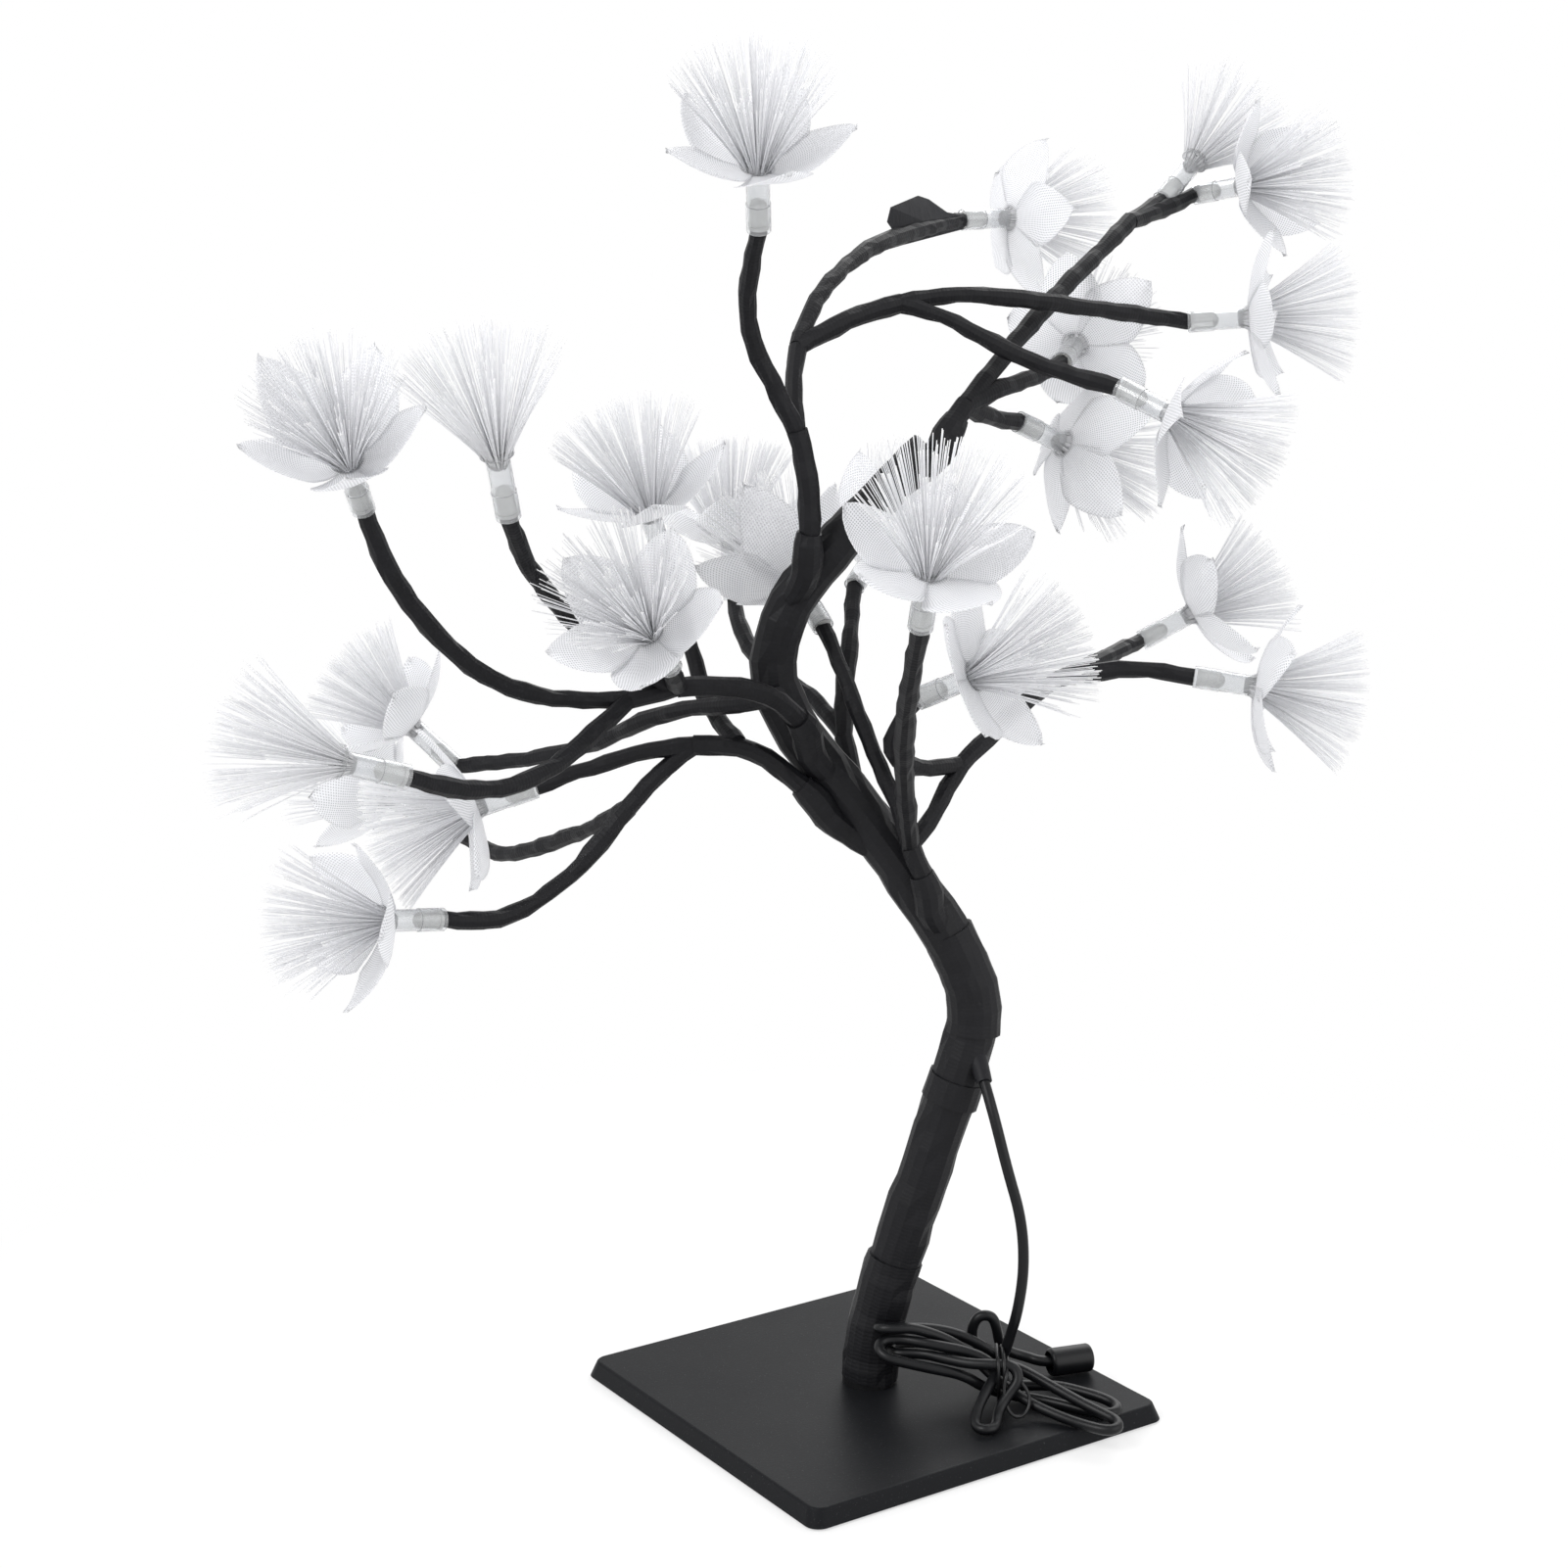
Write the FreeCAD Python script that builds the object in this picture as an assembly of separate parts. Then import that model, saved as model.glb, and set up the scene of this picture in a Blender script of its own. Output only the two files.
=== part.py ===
"""Fibre optic blossom tree lamp: a taped tree of bendable lamp wires on a square steel foot.

Millimetres, +Z up. The origin is the centre of the face that the lamp rests on, and the
foot's sides run along X and Y. The tree faces a little round from the foot, so its places
are given as the tree sees them, (across, back, up), and spot() turns them into X, Y, Z.
"""
import FreeCAD, Part
import math
import os
from FreeCAD import Placement, Rotation, Vector

os.makedirs("parts", exist_ok=True)

TREE_TURN = 35.4  # degrees between the tree's face and the foot's side

# Foot: a pressed steel cover over a ballast plate, with a foam pad to stand on
FOOT_SIDE = 130.0
FOOT_HEIGHT = 5.6
FOOT_WALL = 1.6
RIM_FLARE = 1.7
RIM_FOLD = 1.0
FOOT_CORNER = 4.5
RIM_LIFT = 0.4
PAD_THICKNESS = 1.0
BALLAST_GAP = 1.0
PAD_MARGIN = 1.5

# Screw that clamps the foot to the trunk, and the threaded plug it turns into
SCREW_RADIUS = 2.5
SCREW_LENGTH = 14.0
SCREW_HEAD_RADIUS = 4.8
SCREW_HEAD_RIM = 0.5
SOCKET_KEY_RADIUS = 1.6
SOCKET_KEY_DEPTH = 1.6
HOLE_CLEARANCE = 0.25
PLUG_LENGTH = 11.0

# Trunk: a bent steel tube under layers of crepe tape
TUBE_RADIUS = 5.0
TUBE_WALL = 1.0
TRUNK_ROUTE = [(0, 0), (0, 26), (8, 52), (24, 98), (34, 126), (27, 146), (-4, 190),
               (-28, 218), (-29, 243), (-9, 269), (17, 295)]
TAPE_THICKNESS = 0.9
LAYERS = [(2.1, 150.0), (3.3, 96.0)]  # how thick each further layer lies, and how far up it reaches
LAYER_SLOPE = 5.0
RING_RADIUS = 8.4
RING_HEIGHT = 3.5

# Limb roots: a ball of tape in a taped knot beside the trunk, which lets the limb bend
BALL_RADIUS = 3.9
BALL_GAP = 0.3
KNOT_WALL = 1.7
NECK_GAP = 0.5
NECK_REACH = 4.0
BEND = 8.0
BEND_STEPS = 4

# Limbs: wire under tape, each twig ending in a lamp
MAIN_RADIUS = 3.1
FORK_RADIUS = 2.8
TWIG_RADIUS = 2.5
WIRE_RADIUS = 1.1
WIRE_GAP = 0.1
WIRE_END_INSET = 0.6
ARC_SHARE = 0.45

# Lamps, measured from the end of the twig
SLEEVE_RADIUS = 3.4
SLEEVE_BORE = 3.0
SLEEVE_LENGTH = 8.0
SLEEVE_GAP = 0.05
LED_RADIUS = 2.5
LED_RIM_RADIUS = 2.9
LED_RIM = 1.0
LED_SEAT = 1.0
LED_GAP = 0.2
LED_HEIGHT = 8.6
FERRULE_RADIUS = 3.2
FERRULE_BORE = 2.7
FERRULE_LENGTH = 12.5
FLANGE_RADIUS = 4.6
FLANGE_THICKNESS = 1.3

# Fibres: each rod stands for a tuft; an inner and an outer ring of them: the radius of their
# places in the ferrule, the degrees they splay and how many there are
FIBRE_RADIUS = 0.6
FIBRE_PLACES = [0.75, 2.0]
FIBRE_SPLAYS = [10.0, 34.0]
FIBRE_RODS_IN_RINGS = [3, 8]
FIBRE_LENGTH = 38.0
FIBRE_SEAT = 8.0
FIBRE_BEND = 6.0

# Petals: a thin cup with pointed lobes, threaded on the ferrule under its flange; each blossom's
# tips rise by its own opening, and the cup passes PETAL_MID_SHARE of that rise at PETAL_MID
PETALS = 5
PETAL_REACH = 27.0
PETAL_CLOSED = 21.5
PETAL_OPEN = 15.5
PETAL_WIDE = 11.0
PETAL_HALF_WIDTH = 11.0
PETAL_WIDEST = 15.0
PETAL_THICKNESS = 0.5
PETAL_HUB = 7.0
PETAL_MID = 17.0
PETAL_MID_SHARE = 0.372
PETAL_DROP = 2.3
PETAL_HOLE_GAP = 0.1
PETAL_SPARE = 1.0

# Each limb: its stems as (radius, route), then its lamps as
# (route of the twig, (azimuth, elevation, turn) of the lamp, rise of its petals or 0 for none)
LIMBS = {
    "a": {
        "stems": [
            (MAIN_RADIUS, [(-18, -9, 267), (-16, -12, 284), (-21, -14, 301)]),
            (FORK_RADIUS, [(-21, -14, 301), (-23, -8, 312), (-21, 2, 324)]),
            (FORK_RADIUS, [(-21, 2, 324), (-7, 12, 333), (9, 20, 336)]),
        ],
        "lamps": [
            ([(-21, -14, 301), (-27, -19, 314), (-34, -26, 328), (-34, -36, 343), (-30, -47, 357)],
             (-89, 59, 18), PETAL_WIDE),
            ([(-21, 2, 324), (-18, 13, 335), (-8, 36, 347), (6, 66, 356), (30, 115, 361)],
             (31, 2, 54), PETAL_WIDE),
            ([(9, 20, 336), (21, 23, 339), (47, 32, 337), (72, 50, 333), (99, 68, 329)],
             (-7, 4, 48), PETAL_WIDE),
            ([(9, 20, 336), (21, 18, 333), (35, 14, 325), (52, 9, 317), (72, 4, 312)],
             (-29, -24, 37), PETAL_OPEN),
        ],
    },
    "b": {
        "stems": [
            (MAIN_RADIUS, [(23, 2, 300), (28, 8, 307)]),
            (FORK_RADIUS, [(28, 8, 307), (41, 28, 322), (57, 54, 338), (75, 82, 353), (83, 96, 360)]),
        ],
        "lamps": [
            ([(83, 96, 360), (96, 122, 367)], (39, 41, 23), 0),
            ([(83, 96, 360), (97, 118, 364), (108, 133, 369)], (-35, 8, 55), PETAL_OPEN),
            ([(28, 8, 307), (37, 17, 311), (48, 34, 313), (59, 55, 317)], (73, 15, 22), PETAL_OPEN),
            ([(28, 8, 307), (34, 20, 302), (45, 40, 300)], (33, -23, 18), PETAL_OPEN),
        ],
    },
    "c": {
        "stems": [
            (MAIN_RADIUS, [(-19, -10, 214), (-26, -18, 225), (-40, -22, 229), (-55, -26, 229)]),
            (FORK_RADIUS, [(-55, -26, 229), (-69, -30, 226)]),
        ],
        "lamps": [
            ([(-55, -26, 229), (-69, -36, 237), (-79, -46, 247), (-86, -58, 258), (-92, -74, 270),
              (-94, -88, 284)], (-99, 62, 18), 0),
            ([(-69, -30, 226), (-86, -32, 226), (-100, -35, 229), (-113, -40, 237), (-127, -47, 254),
              (-135, -53, 271), (-138, -56, 283)], (-97, 48, 18), PETAL_CLOSED),
            ([(-69, -30, 226), (-77, -40, 219), (-89, -58, 210), (-101, -72, 208), (-114, -88, 212),
              (-121, -98, 217)], (-148, 18, 18), 0),
            ([(-26, -18, 225), (-37, -10, 221), (-51, 0, 219), (-68, 13, 213), (-81, 26, 204),
              (-98, 40, 197), (-115, 52, 192), (-134, 61, 189)], (-175, 45, 32), PETAL_OPEN),
            ([(-55, -26, 229), (-55, -36, 232), (-55, -53, 239)], (-110, 39, 21), PETAL_OPEN),
        ],
    },
    "d": {
        "stems": [
            (MAIN_RADIUS, [(-17, -6, 193), (-27, -7, 203), (-39, -6, 209), (-52, -5, 208)]),
            (FORK_RADIUS, [(-52, -5, 208), (-61, -4, 202), (-72, -5, 189)]),
        ],
        "lamps": [
            ([(-52, -5, 208), (-65, -5, 207), (-81, -6, 202), (-91, -7, 199), (-99, -8, 196)],
             (-163, -16, 54), PETAL_WIDE),
            ([(-72, -5, 189), (-83, 10, 180), (-93, 24, 174), (-108, 42, 165), (-121, 58, 160),
              (-133, 72, 163), (-146, 86, 166)], (159, 20, 18), PETAL_OPEN),
            ([(-72, -5, 189), (-81, -10, 178), (-89, -15, 170), (-100, -22, 163), (-111, -30, 160),
              (-123, -37, 163)], (-144, 7, 18), PETAL_OPEN),
            ([(-39, -6, 209), (-45, 6, 213), (-50, 12, 220), (-53, 15, 231), (-57, 16, 246),
              (-61, 14, 259)], (-125, 66, 52), PETAL_OPEN),
        ],
    },
    "e": {
        "stems": [
            (MAIN_RADIUS, [(17, -9, 166), (12, -11, 179)]),
            (FORK_RADIUS, [(12, -11, 179), (17, -8, 184), (21, -4, 192), (27, 2, 201)]),
            (FORK_RADIUS, [(27, 2, 201), (36, 10, 208), (48, 22, 218), (58, 32, 222)]),
        ],
        "lamps": [
            ([(12, -11, 179), (9, -9, 189), (1, -6, 206), (-8, 2, 229), (-14, 12, 241)],
             (123, 38, 4), PETAL_CLOSED),
            ([(12, -11, 179), (10, -28, 198), (9, -62, 227), (13, -95, 256)], (-79, 56, 18), PETAL_WIDE),
            ([(27, 2, 201), (16, -8, 201), (7, -16, 206), (6, -22, 216), (14, -28, 226)],
             (-28, 24, 18), PETAL_WIDE),
            ([(58, 32, 222), (72, 62, 223), (89, 92, 225)], (0, 29, 18), PETAL_OPEN),
            ([(58, 32, 222), (73, 32, 225), (86, 32, 225), (99, 30, 223)], (-8, -8, 18), PETAL_WIDE),
        ],
    },
    "f": {
        "stems": [
            (MAIN_RADIUS, [(-4, 10, 191), (-8, 17, 207)]),
        ],
        "lamps": [
            ([(-8, 17, 207), (-8, 22, 222), (-6, 33, 235), (-5, 53, 248)], (60, 35, 26), PETAL_OPEN),
            ([(-8, 17, 207), (-16, 30, 216), (-27, 43, 220), (-37, 56, 226), (-42, 67, 233),
              (-44, 75, 241)], (107, 78, 24), PETAL_OPEN),
        ],
    },
}

# Lead: out of the trunk, down to a tied hank on the foot, and on to the power socket
CORD_RADIUS = 1.65
LEAD_ENTRY = (30.8, 0, 117)  # where the lead joins the wires in the tube
CORD_EXIT = (34.5, -10, 106)
COLLAR_RADIUS = 3.1
COLLAR_TIP = 2.4
COLLAR_LENGTH = 9.0
LEAD_GAP = 0.15
CORD_DROP = [CORD_EXIT, (36.9, -16.5, 98.8), (41.1, -19.4, 82), (45.5, -21, 67), (46.5, -22, 52),
             (44.5, -22, 38), (41.5, -20, 27), (39.5, -17, 18.5)]
HANK_SECTIONS = [((3, -14, 27), 3.2, 5.0), ((12, -14.5, 24), 4.0, 7.0), ((26, -16, 18.5), 5.0, 7.2),
                 ((40, -18, 14.3), 5.6, 6.3), ((56, -24, 11.2), 6.8, 4.6), ((68, -29, 9.6), 6.6, 3.2),
                 ((74, -32, 8.6), 3.6, 2.4)]
TIE_SECTION = 3
TIE_RADIUS = 0.7
TIE_GAP = 0.4
CORD_TAIL = [(36.6, -14, 13.5), (36.2, -6.2, 13), (39.8, 0.8, 12.3), (46.3, 4.6, 11.5),
             (54, 2.8, 10.3), (60.8, 5.2, 10.3)]

# Power socket moulded on the end of the lead, which runs into the hollow skirt at its back
POWER_RADIUS = 4.4
POWER_LENGTH = 14.0
POWER_ROUNDING = 1.2
POWER_SKIRT_BORE = 3.5
POWER_SKIRT_DEPTH = 5.0
POWER_BORE = 2.9
POWER_DEPTH = 7.5
POWER_PIN_RADIUS = 1.0
POWER_PIN_LENGTH = 6.3
POWER_LINER = 0.3
POWER_LINER_INSET = 0.7


def spot(across, back, up):
    """A place on the tree, as X, Y, Z."""
    turn = math.radians(-TREE_TURN)
    return Vector(across * math.cos(turn) - back * math.sin(turn),
                  across * math.sin(turn) + back * math.cos(turn), up)


def bent_edges(points, share=ARC_SHARE, radii=None):
    """Straight runs joined by tangent arcs, each as large as its two runs allow."""
    edges = []
    at = points[0]
    for before, corner, after in zip(points, points[1:], points[2:]):
        incoming = (corner - before).normalize()
        outgoing = (after - corner).normalize()
        run = min(corner.distanceToPoint(before), corner.distanceToPoint(after))
        turn = incoming.getAngle(outgoing)
        setback = share * run
        start = corner - incoming * setback
        end = corner + outgoing * setback
        radius = setback / math.tan(turn / 2)
        middle_way = (outgoing - incoming).normalize()
        middle = corner + middle_way * (radius / math.cos(turn / 2) - radius)
        if radii is not None:
            radii.append(radius)
        edges.append(Part.LineSegment(at, start).toShape())
        edges.append(Part.Arc(start, middle, end).toShape())
        at = end
    edges.append(Part.LineSegment(at, points[-1]).toShape())
    return edges


def cut_back(edges, start, length):
    """The part of a path from one distance along it to another."""
    kept = []
    travelled = 0.0
    for edge in edges:
        low = max(start - travelled, 0.0)
        high = min(length - travelled, edge.Length)
        if high - low > 1e-6:
            first = edge.getParameterByLength(low)
            last = edge.getParameterByLength(high)
            kept.append(edge.Curve.toShape(first, last))
        travelled += edge.Length
    return kept


def pipe(edges, radius):
    """A round bar along a path."""
    start = edges[0].valueAt(edges[0].FirstParameter)
    along = edges[0].tangentAt(edges[0].FirstParameter)
    disc = Part.Face(Part.Wire(Part.makeCircle(radius, start, along)))
    return Part.Wire(edges).makePipe(disc)


def path_end(edges):
    """The last point of a path, and the way it runs there."""
    return edges[-1].valueAt(edges[-1].LastParameter), edges[-1].tangentAt(edges[-1].LastParameter)


def fused(solids):
    """One solid from solids that run into each other."""
    whole = solids[0].multiFuse(solids[1:]) if len(solids) > 1 else solids[0]
    return whole.Solids[0] if len(whole.Solids) == 1 else whole


def export(node, solids):
    """Write one node, as one solid or as a group of separate solids."""
    shape = solids if not isinstance(solids, list) else Part.makeCompound(solids)
    bad = [solid for solid in shape.Solids if not solid.isValid() or solid.Volume <= 0]
    shape.exportStep("parts/" + node + ".step")
    print("%-24s %3d solids %10.1f mm3%s" % (node, len(shape.Solids), shape.Volume,
                                           "  INVALID" if bad or not shape.Solids else ""))


def rounded_square(side, corner, height):
    """A closed square outline with round corners, lying flat."""
    half = side / 2
    flat = half - corner
    bulge = flat + corner * math.sqrt(0.5)
    edges = []
    for quarter in range(4):
        turn = Rotation(Vector(0, 0, 1), 90 * quarter)
        low, high = Vector(half, -flat, height), Vector(half, flat, height)
        edges.append(Part.LineSegment(turn.multVec(low), turn.multVec(high)).toShape())
        edges.append(Part.Arc(turn.multVec(high), turn.multVec(Vector(bulge, bulge, height)),
                              turn.multVec(Vector(flat, half, height))).toShape())
    return Part.Wire(edges)


def square_block(lower_side, upper_side, corner, bottom, top):
    """A block with round corners whose sides may lean."""
    lower = rounded_square(lower_side, corner, bottom)
    upper = rounded_square(upper_side, corner, top)
    return Part.makeLoft([lower, upper], True, True)


def upright(radius, bottom, top):
    """A round bar on the trunk's foot axis."""
    return Part.makeCylinder(radius, top - bottom, Vector(0, 0, bottom))


def make_foot():
    """The pressed cover, the ballast plate and the pad under them, and the screw that holds them."""
    top_side = FOOT_SIDE - 2 * RIM_FLARE
    cover = square_block(FOOT_SIDE, top_side, FOOT_CORNER, RIM_LIFT, FOOT_HEIGHT)
    fold = [edge for edge in cover.Edges if edge.BoundBox.ZMin > FOOT_HEIGHT - 0.01]
    cover = cover.makeFillet(RIM_FOLD, fold)
    ceiling = FOOT_HEIGHT - FOOT_WALL
    inside_corner = FOOT_CORNER - FOOT_WALL
    hollow = square_block(FOOT_SIDE - 2 * FOOT_WALL, top_side - 2 * FOOT_WALL, inside_corner,
                          RIM_LIFT, ceiling)
    hole = upright(SCREW_RADIUS + HOLE_CLEARANCE, 0, FOOT_HEIGHT)
    export("foot_cover", cover.cut(hollow).cut(hole).Solids[0])

    ballast_side = top_side - 2 * FOOT_WALL - 2 * BALLAST_GAP
    ballast = square_block(ballast_side, ballast_side, inside_corner, PAD_THICKNESS, ceiling)
    sink_depth = SCREW_HEAD_RADIUS - SCREW_RADIUS
    head_bottom = PAD_THICKNESS
    sink_bottom = head_bottom + SCREW_HEAD_RIM
    sink = Part.makeCone(SCREW_HEAD_RADIUS, SCREW_RADIUS, sink_depth, Vector(0, 0, sink_bottom))
    head = fused([upright(SCREW_HEAD_RADIUS, head_bottom, sink_bottom), sink])
    ballast = ballast.cut(head).cut(hole)
    export("ballast_plate", ballast.Solids[0])

    screw = fused([head, upright(SCREW_RADIUS, sink_bottom, head_bottom + SCREW_LENGTH)])
    key = Part.makeCylinder(SOCKET_KEY_RADIUS, SOCKET_KEY_DEPTH, Vector(0, 0, head_bottom))
    export("foot_screw", screw.cut(key).Solids[0])

    pad_side = ballast_side - 2 * PAD_MARGIN
    pad = square_block(pad_side, pad_side, inside_corner, 0, PAD_THICKNESS)
    export("foot_pad", pad)


def trunk_points():
    """The trunk's route in X, Y, Z, starting on the foot."""
    route = [(across, FOOT_HEIGHT if up == 0 else up) for across, up in TRUNK_ROUTE]
    return [spot(across, 0, up) for across, up in route]


def knot(pivot, axis_point):
    """The taped lump that holds a limb's root against the trunk."""
    wall = BALL_RADIUS + BALL_GAP + KNOT_WALL
    reach = pivot - axis_point
    bridge = Part.makeCylinder(wall * 0.85, reach.Length, axis_point, reach)
    return fused([Part.makeSphere(wall, pivot), bridge])


def bend_axis():
    """The way every limb's bending axis points: straight out of the tree's face."""
    return spot(0, -1, 0)


def root_room(route):
    """The hollows that a limb's ball and neck sweep as the limb bends."""
    pivot, first = spot(*route[0]), spot(*route[1])
    along = (first - pivot).normalize()
    reach = BALL_RADIUS + BALL_GAP + KNOT_WALL + NECK_REACH
    room = [Part.makeSphere(BALL_RADIUS + BALL_GAP, pivot)]
    for step in range(BEND_STEPS + 1):
        turn = -BEND + 2 * BEND * step / BEND_STEPS
        way = Rotation(bend_axis(), turn).multVec(along)
        room.append(Part.makeCylinder(MAIN_RADIUS + NECK_GAP, reach, pivot, way))
    return room


def lead_path():
    """The lead's way from the wires in the tube out through the wall to the collar's tip."""
    return [spot(*LEAD_ENTRY), spot(*CORD_EXIT)]


def make_trunk():
    """The bent tube with its threaded plug and foot ring, the tape on it and the wires in it."""
    points = trunk_points()
    edges = bent_edges(points)
    whole_length = sum(edge.Length for edge in edges)
    entry, leave = lead_path()
    lead_hole = Part.makeCylinder(CORD_RADIUS + LEAD_GAP, entry.distanceToPoint(leave), entry, leave - entry)

    tube = pipe(edges, TUBE_RADIUS).cut(pipe(edges, TUBE_RADIUS - TUBE_WALL)).cut(lead_hole)
    export("trunk_tube", tube.Solids[0])

    plug = upright(TUBE_RADIUS - TUBE_WALL, FOOT_HEIGHT, FOOT_HEIGHT + PLUG_LENGTH)
    screw_room = upright(SCREW_RADIUS, FOOT_HEIGHT, PAD_THICKNESS + SCREW_LENGTH)
    export("thread_plug", plug.cut(screw_room))

    ring = upright(RING_RADIUS, FOOT_HEIGHT, FOOT_HEIGHT + RING_HEIGHT)
    top_edge = [edge for edge in ring.Edges if edge.BoundBox.ZMin > FOOT_HEIGHT + RING_HEIGHT - 0.01]
    ring = ring.makeFillet(0.8, top_edge)
    ring = ring.cut(upright(TUBE_RADIUS, FOOT_HEIGHT, FOOT_HEIGHT + RING_HEIGHT))
    export("foot_ring", ring.Solids[0])

    tape = [pipe(cut_back(edges, RING_HEIGHT, whole_length), TUBE_RADIUS + TAPE_THICKNESS)]
    for thickness, reach in LAYERS:
        layer = cut_back(edges, RING_HEIGHT, reach)
        tape.append(pipe(layer, TUBE_RADIUS + thickness))
        end, along = path_end(layer)
        tape.append(Part.makeCone(TUBE_RADIUS + thickness, TUBE_RADIUS + TAPE_THICKNESS / 2,
                                  LAYER_SLOPE * thickness / 2, end, along))
    spine = Part.Wire(edges)
    for limb in LIMBS.values():
        pivot = spot(*limb["stems"][0][1][0])
        nearest = spine.distToShape(Part.Vertex(pivot))[1][0][0]
        tape.append(knot(pivot, nearest))
    tape = fused(tape)
    tape = tape.cut(pipe(edges, TUBE_RADIUS))
    for limb in LIMBS.values():
        for hollow in root_room(limb["stems"][0][1]):
            tape = tape.cut(hollow)
    tape = tape.cut(lead_hole)
    tape = max(tape.Solids, key=lambda solid: solid.Volume)
    export("trunk_tape", tape)

    inside = cut_back(edges, edges_length_to(edges, entry), whole_length)
    wires = fused([pipe(inside, CORD_RADIUS), Part.makeSphere(CORD_RADIUS, entry),
                   Part.makeCylinder(CORD_RADIUS, entry.distanceToPoint(leave), entry, leave - entry)])
    export("trunk_wires", wires)

    way = (leave - entry).normalize()
    collar_start = leave - way * COLLAR_LENGTH
    collar = Part.makeCone(COLLAR_RADIUS, COLLAR_TIP, COLLAR_LENGTH, collar_start, way)
    collar = collar.cut(tape).cut(lead_hole)
    collar = max(collar.Solids, key=lambda solid: solid.Volume)
    export("lead_collar", collar.cut(Part.makeCylinder(CORD_RADIUS, COLLAR_LENGTH, collar_start, way)))


def edges_length_to(edges, place):
    """How far along a path the point nearest to a place lies."""
    travelled = 0.0
    best = None
    for edge in edges:
        gap, pairs, _ = edge.distToShape(Part.Vertex(place))
        if best is None or gap < best[0]:
            parameter = edge.Curve.parameter(pairs[0][0])
            best = (gap, travelled + edge.Curve.length(edge.FirstParameter, parameter))
        travelled += edge.Length
    return best[1]


def lamp_placement(tip, direction):
    """Stands a lamp that is made pointing up the Z axis on the end of its twig."""
    azimuth, elevation, turn = direction
    lean = Rotation(Vector(0, 0, 1), azimuth - TREE_TURN).multiply(
        Rotation(Vector(0, 1, 0), 90 - elevation)).multiply(Rotation(Vector(0, 0, 1), turn))
    return Placement(tip, lean)


def ring_solid(outer, inner, bottom, top):
    """A plain round sleeve on the Z axis."""
    body = Part.makeCylinder(outer, top - bottom, Vector(0, 0, bottom))
    return body.cut(Part.makeCylinder(inner, top - bottom, Vector(0, 0, bottom)))


def make_sleeve():
    """The clear sleeve that holds the LED."""
    return ring_solid(SLEEVE_RADIUS, SLEEVE_BORE, 0, SLEEVE_LENGTH)


def make_led():
    """A round-nosed LED."""
    rim = Part.makeCylinder(LED_RIM_RADIUS, LED_RIM, Vector(0, 0, LED_SEAT))
    body = Part.makeCylinder(LED_RADIUS, LED_HEIGHT - LED_RADIUS, Vector(0, 0, LED_SEAT))
    nose = Part.makeSphere(LED_RADIUS, Vector(0, 0, LED_SEAT + LED_HEIGHT - LED_RADIUS))
    return fused([rim, body, nose])


def make_ferrule():
    """The clear ferrule that holds the fibres, with the flange that keeps the petals on."""
    top = SLEEVE_LENGTH + FERRULE_LENGTH
    tube = Part.makeCylinder(FERRULE_RADIUS, FERRULE_LENGTH, Vector(0, 0, SLEEVE_LENGTH))
    flange = Part.makeCylinder(FLANGE_RADIUS, FLANGE_THICKNESS, Vector(0, 0, top - FLANGE_THICKNESS))
    bore = Part.makeCylinder(FERRULE_BORE, FERRULE_LENGTH, Vector(0, 0, SLEEVE_LENGTH))
    return fused([tube, flange]).cut(bore)


def make_fibres():
    """The fibre tufts: straight in the ferrule, splayed out of its mouth."""
    mouth = SLEEVE_LENGTH + FERRULE_LENGTH
    rods = []
    for place, splay, count in zip(FIBRE_PLACES, FIBRE_SPLAYS, FIBRE_RODS_IN_RINGS):
        for index in range(count):
            around = math.radians(360 * index / count)
            out = Vector(math.cos(around), math.sin(around), 0)
            start = out * place + Vector(0, 0, mouth - FIBRE_SEAT)
            corner = out * place + Vector(0, 0, mouth)
            slant = out * math.sin(math.radians(splay)) + Vector(0, 0, math.cos(math.radians(splay)))
            end = corner + slant * FIBRE_LENGTH
            share = FIBRE_BEND * math.tan(math.radians(splay) / 2) / FIBRE_SEAT
            rods.append(pipe(bent_edges([start, corner, end], share=share), FIBRE_RADIUS))
    return rods


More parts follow.
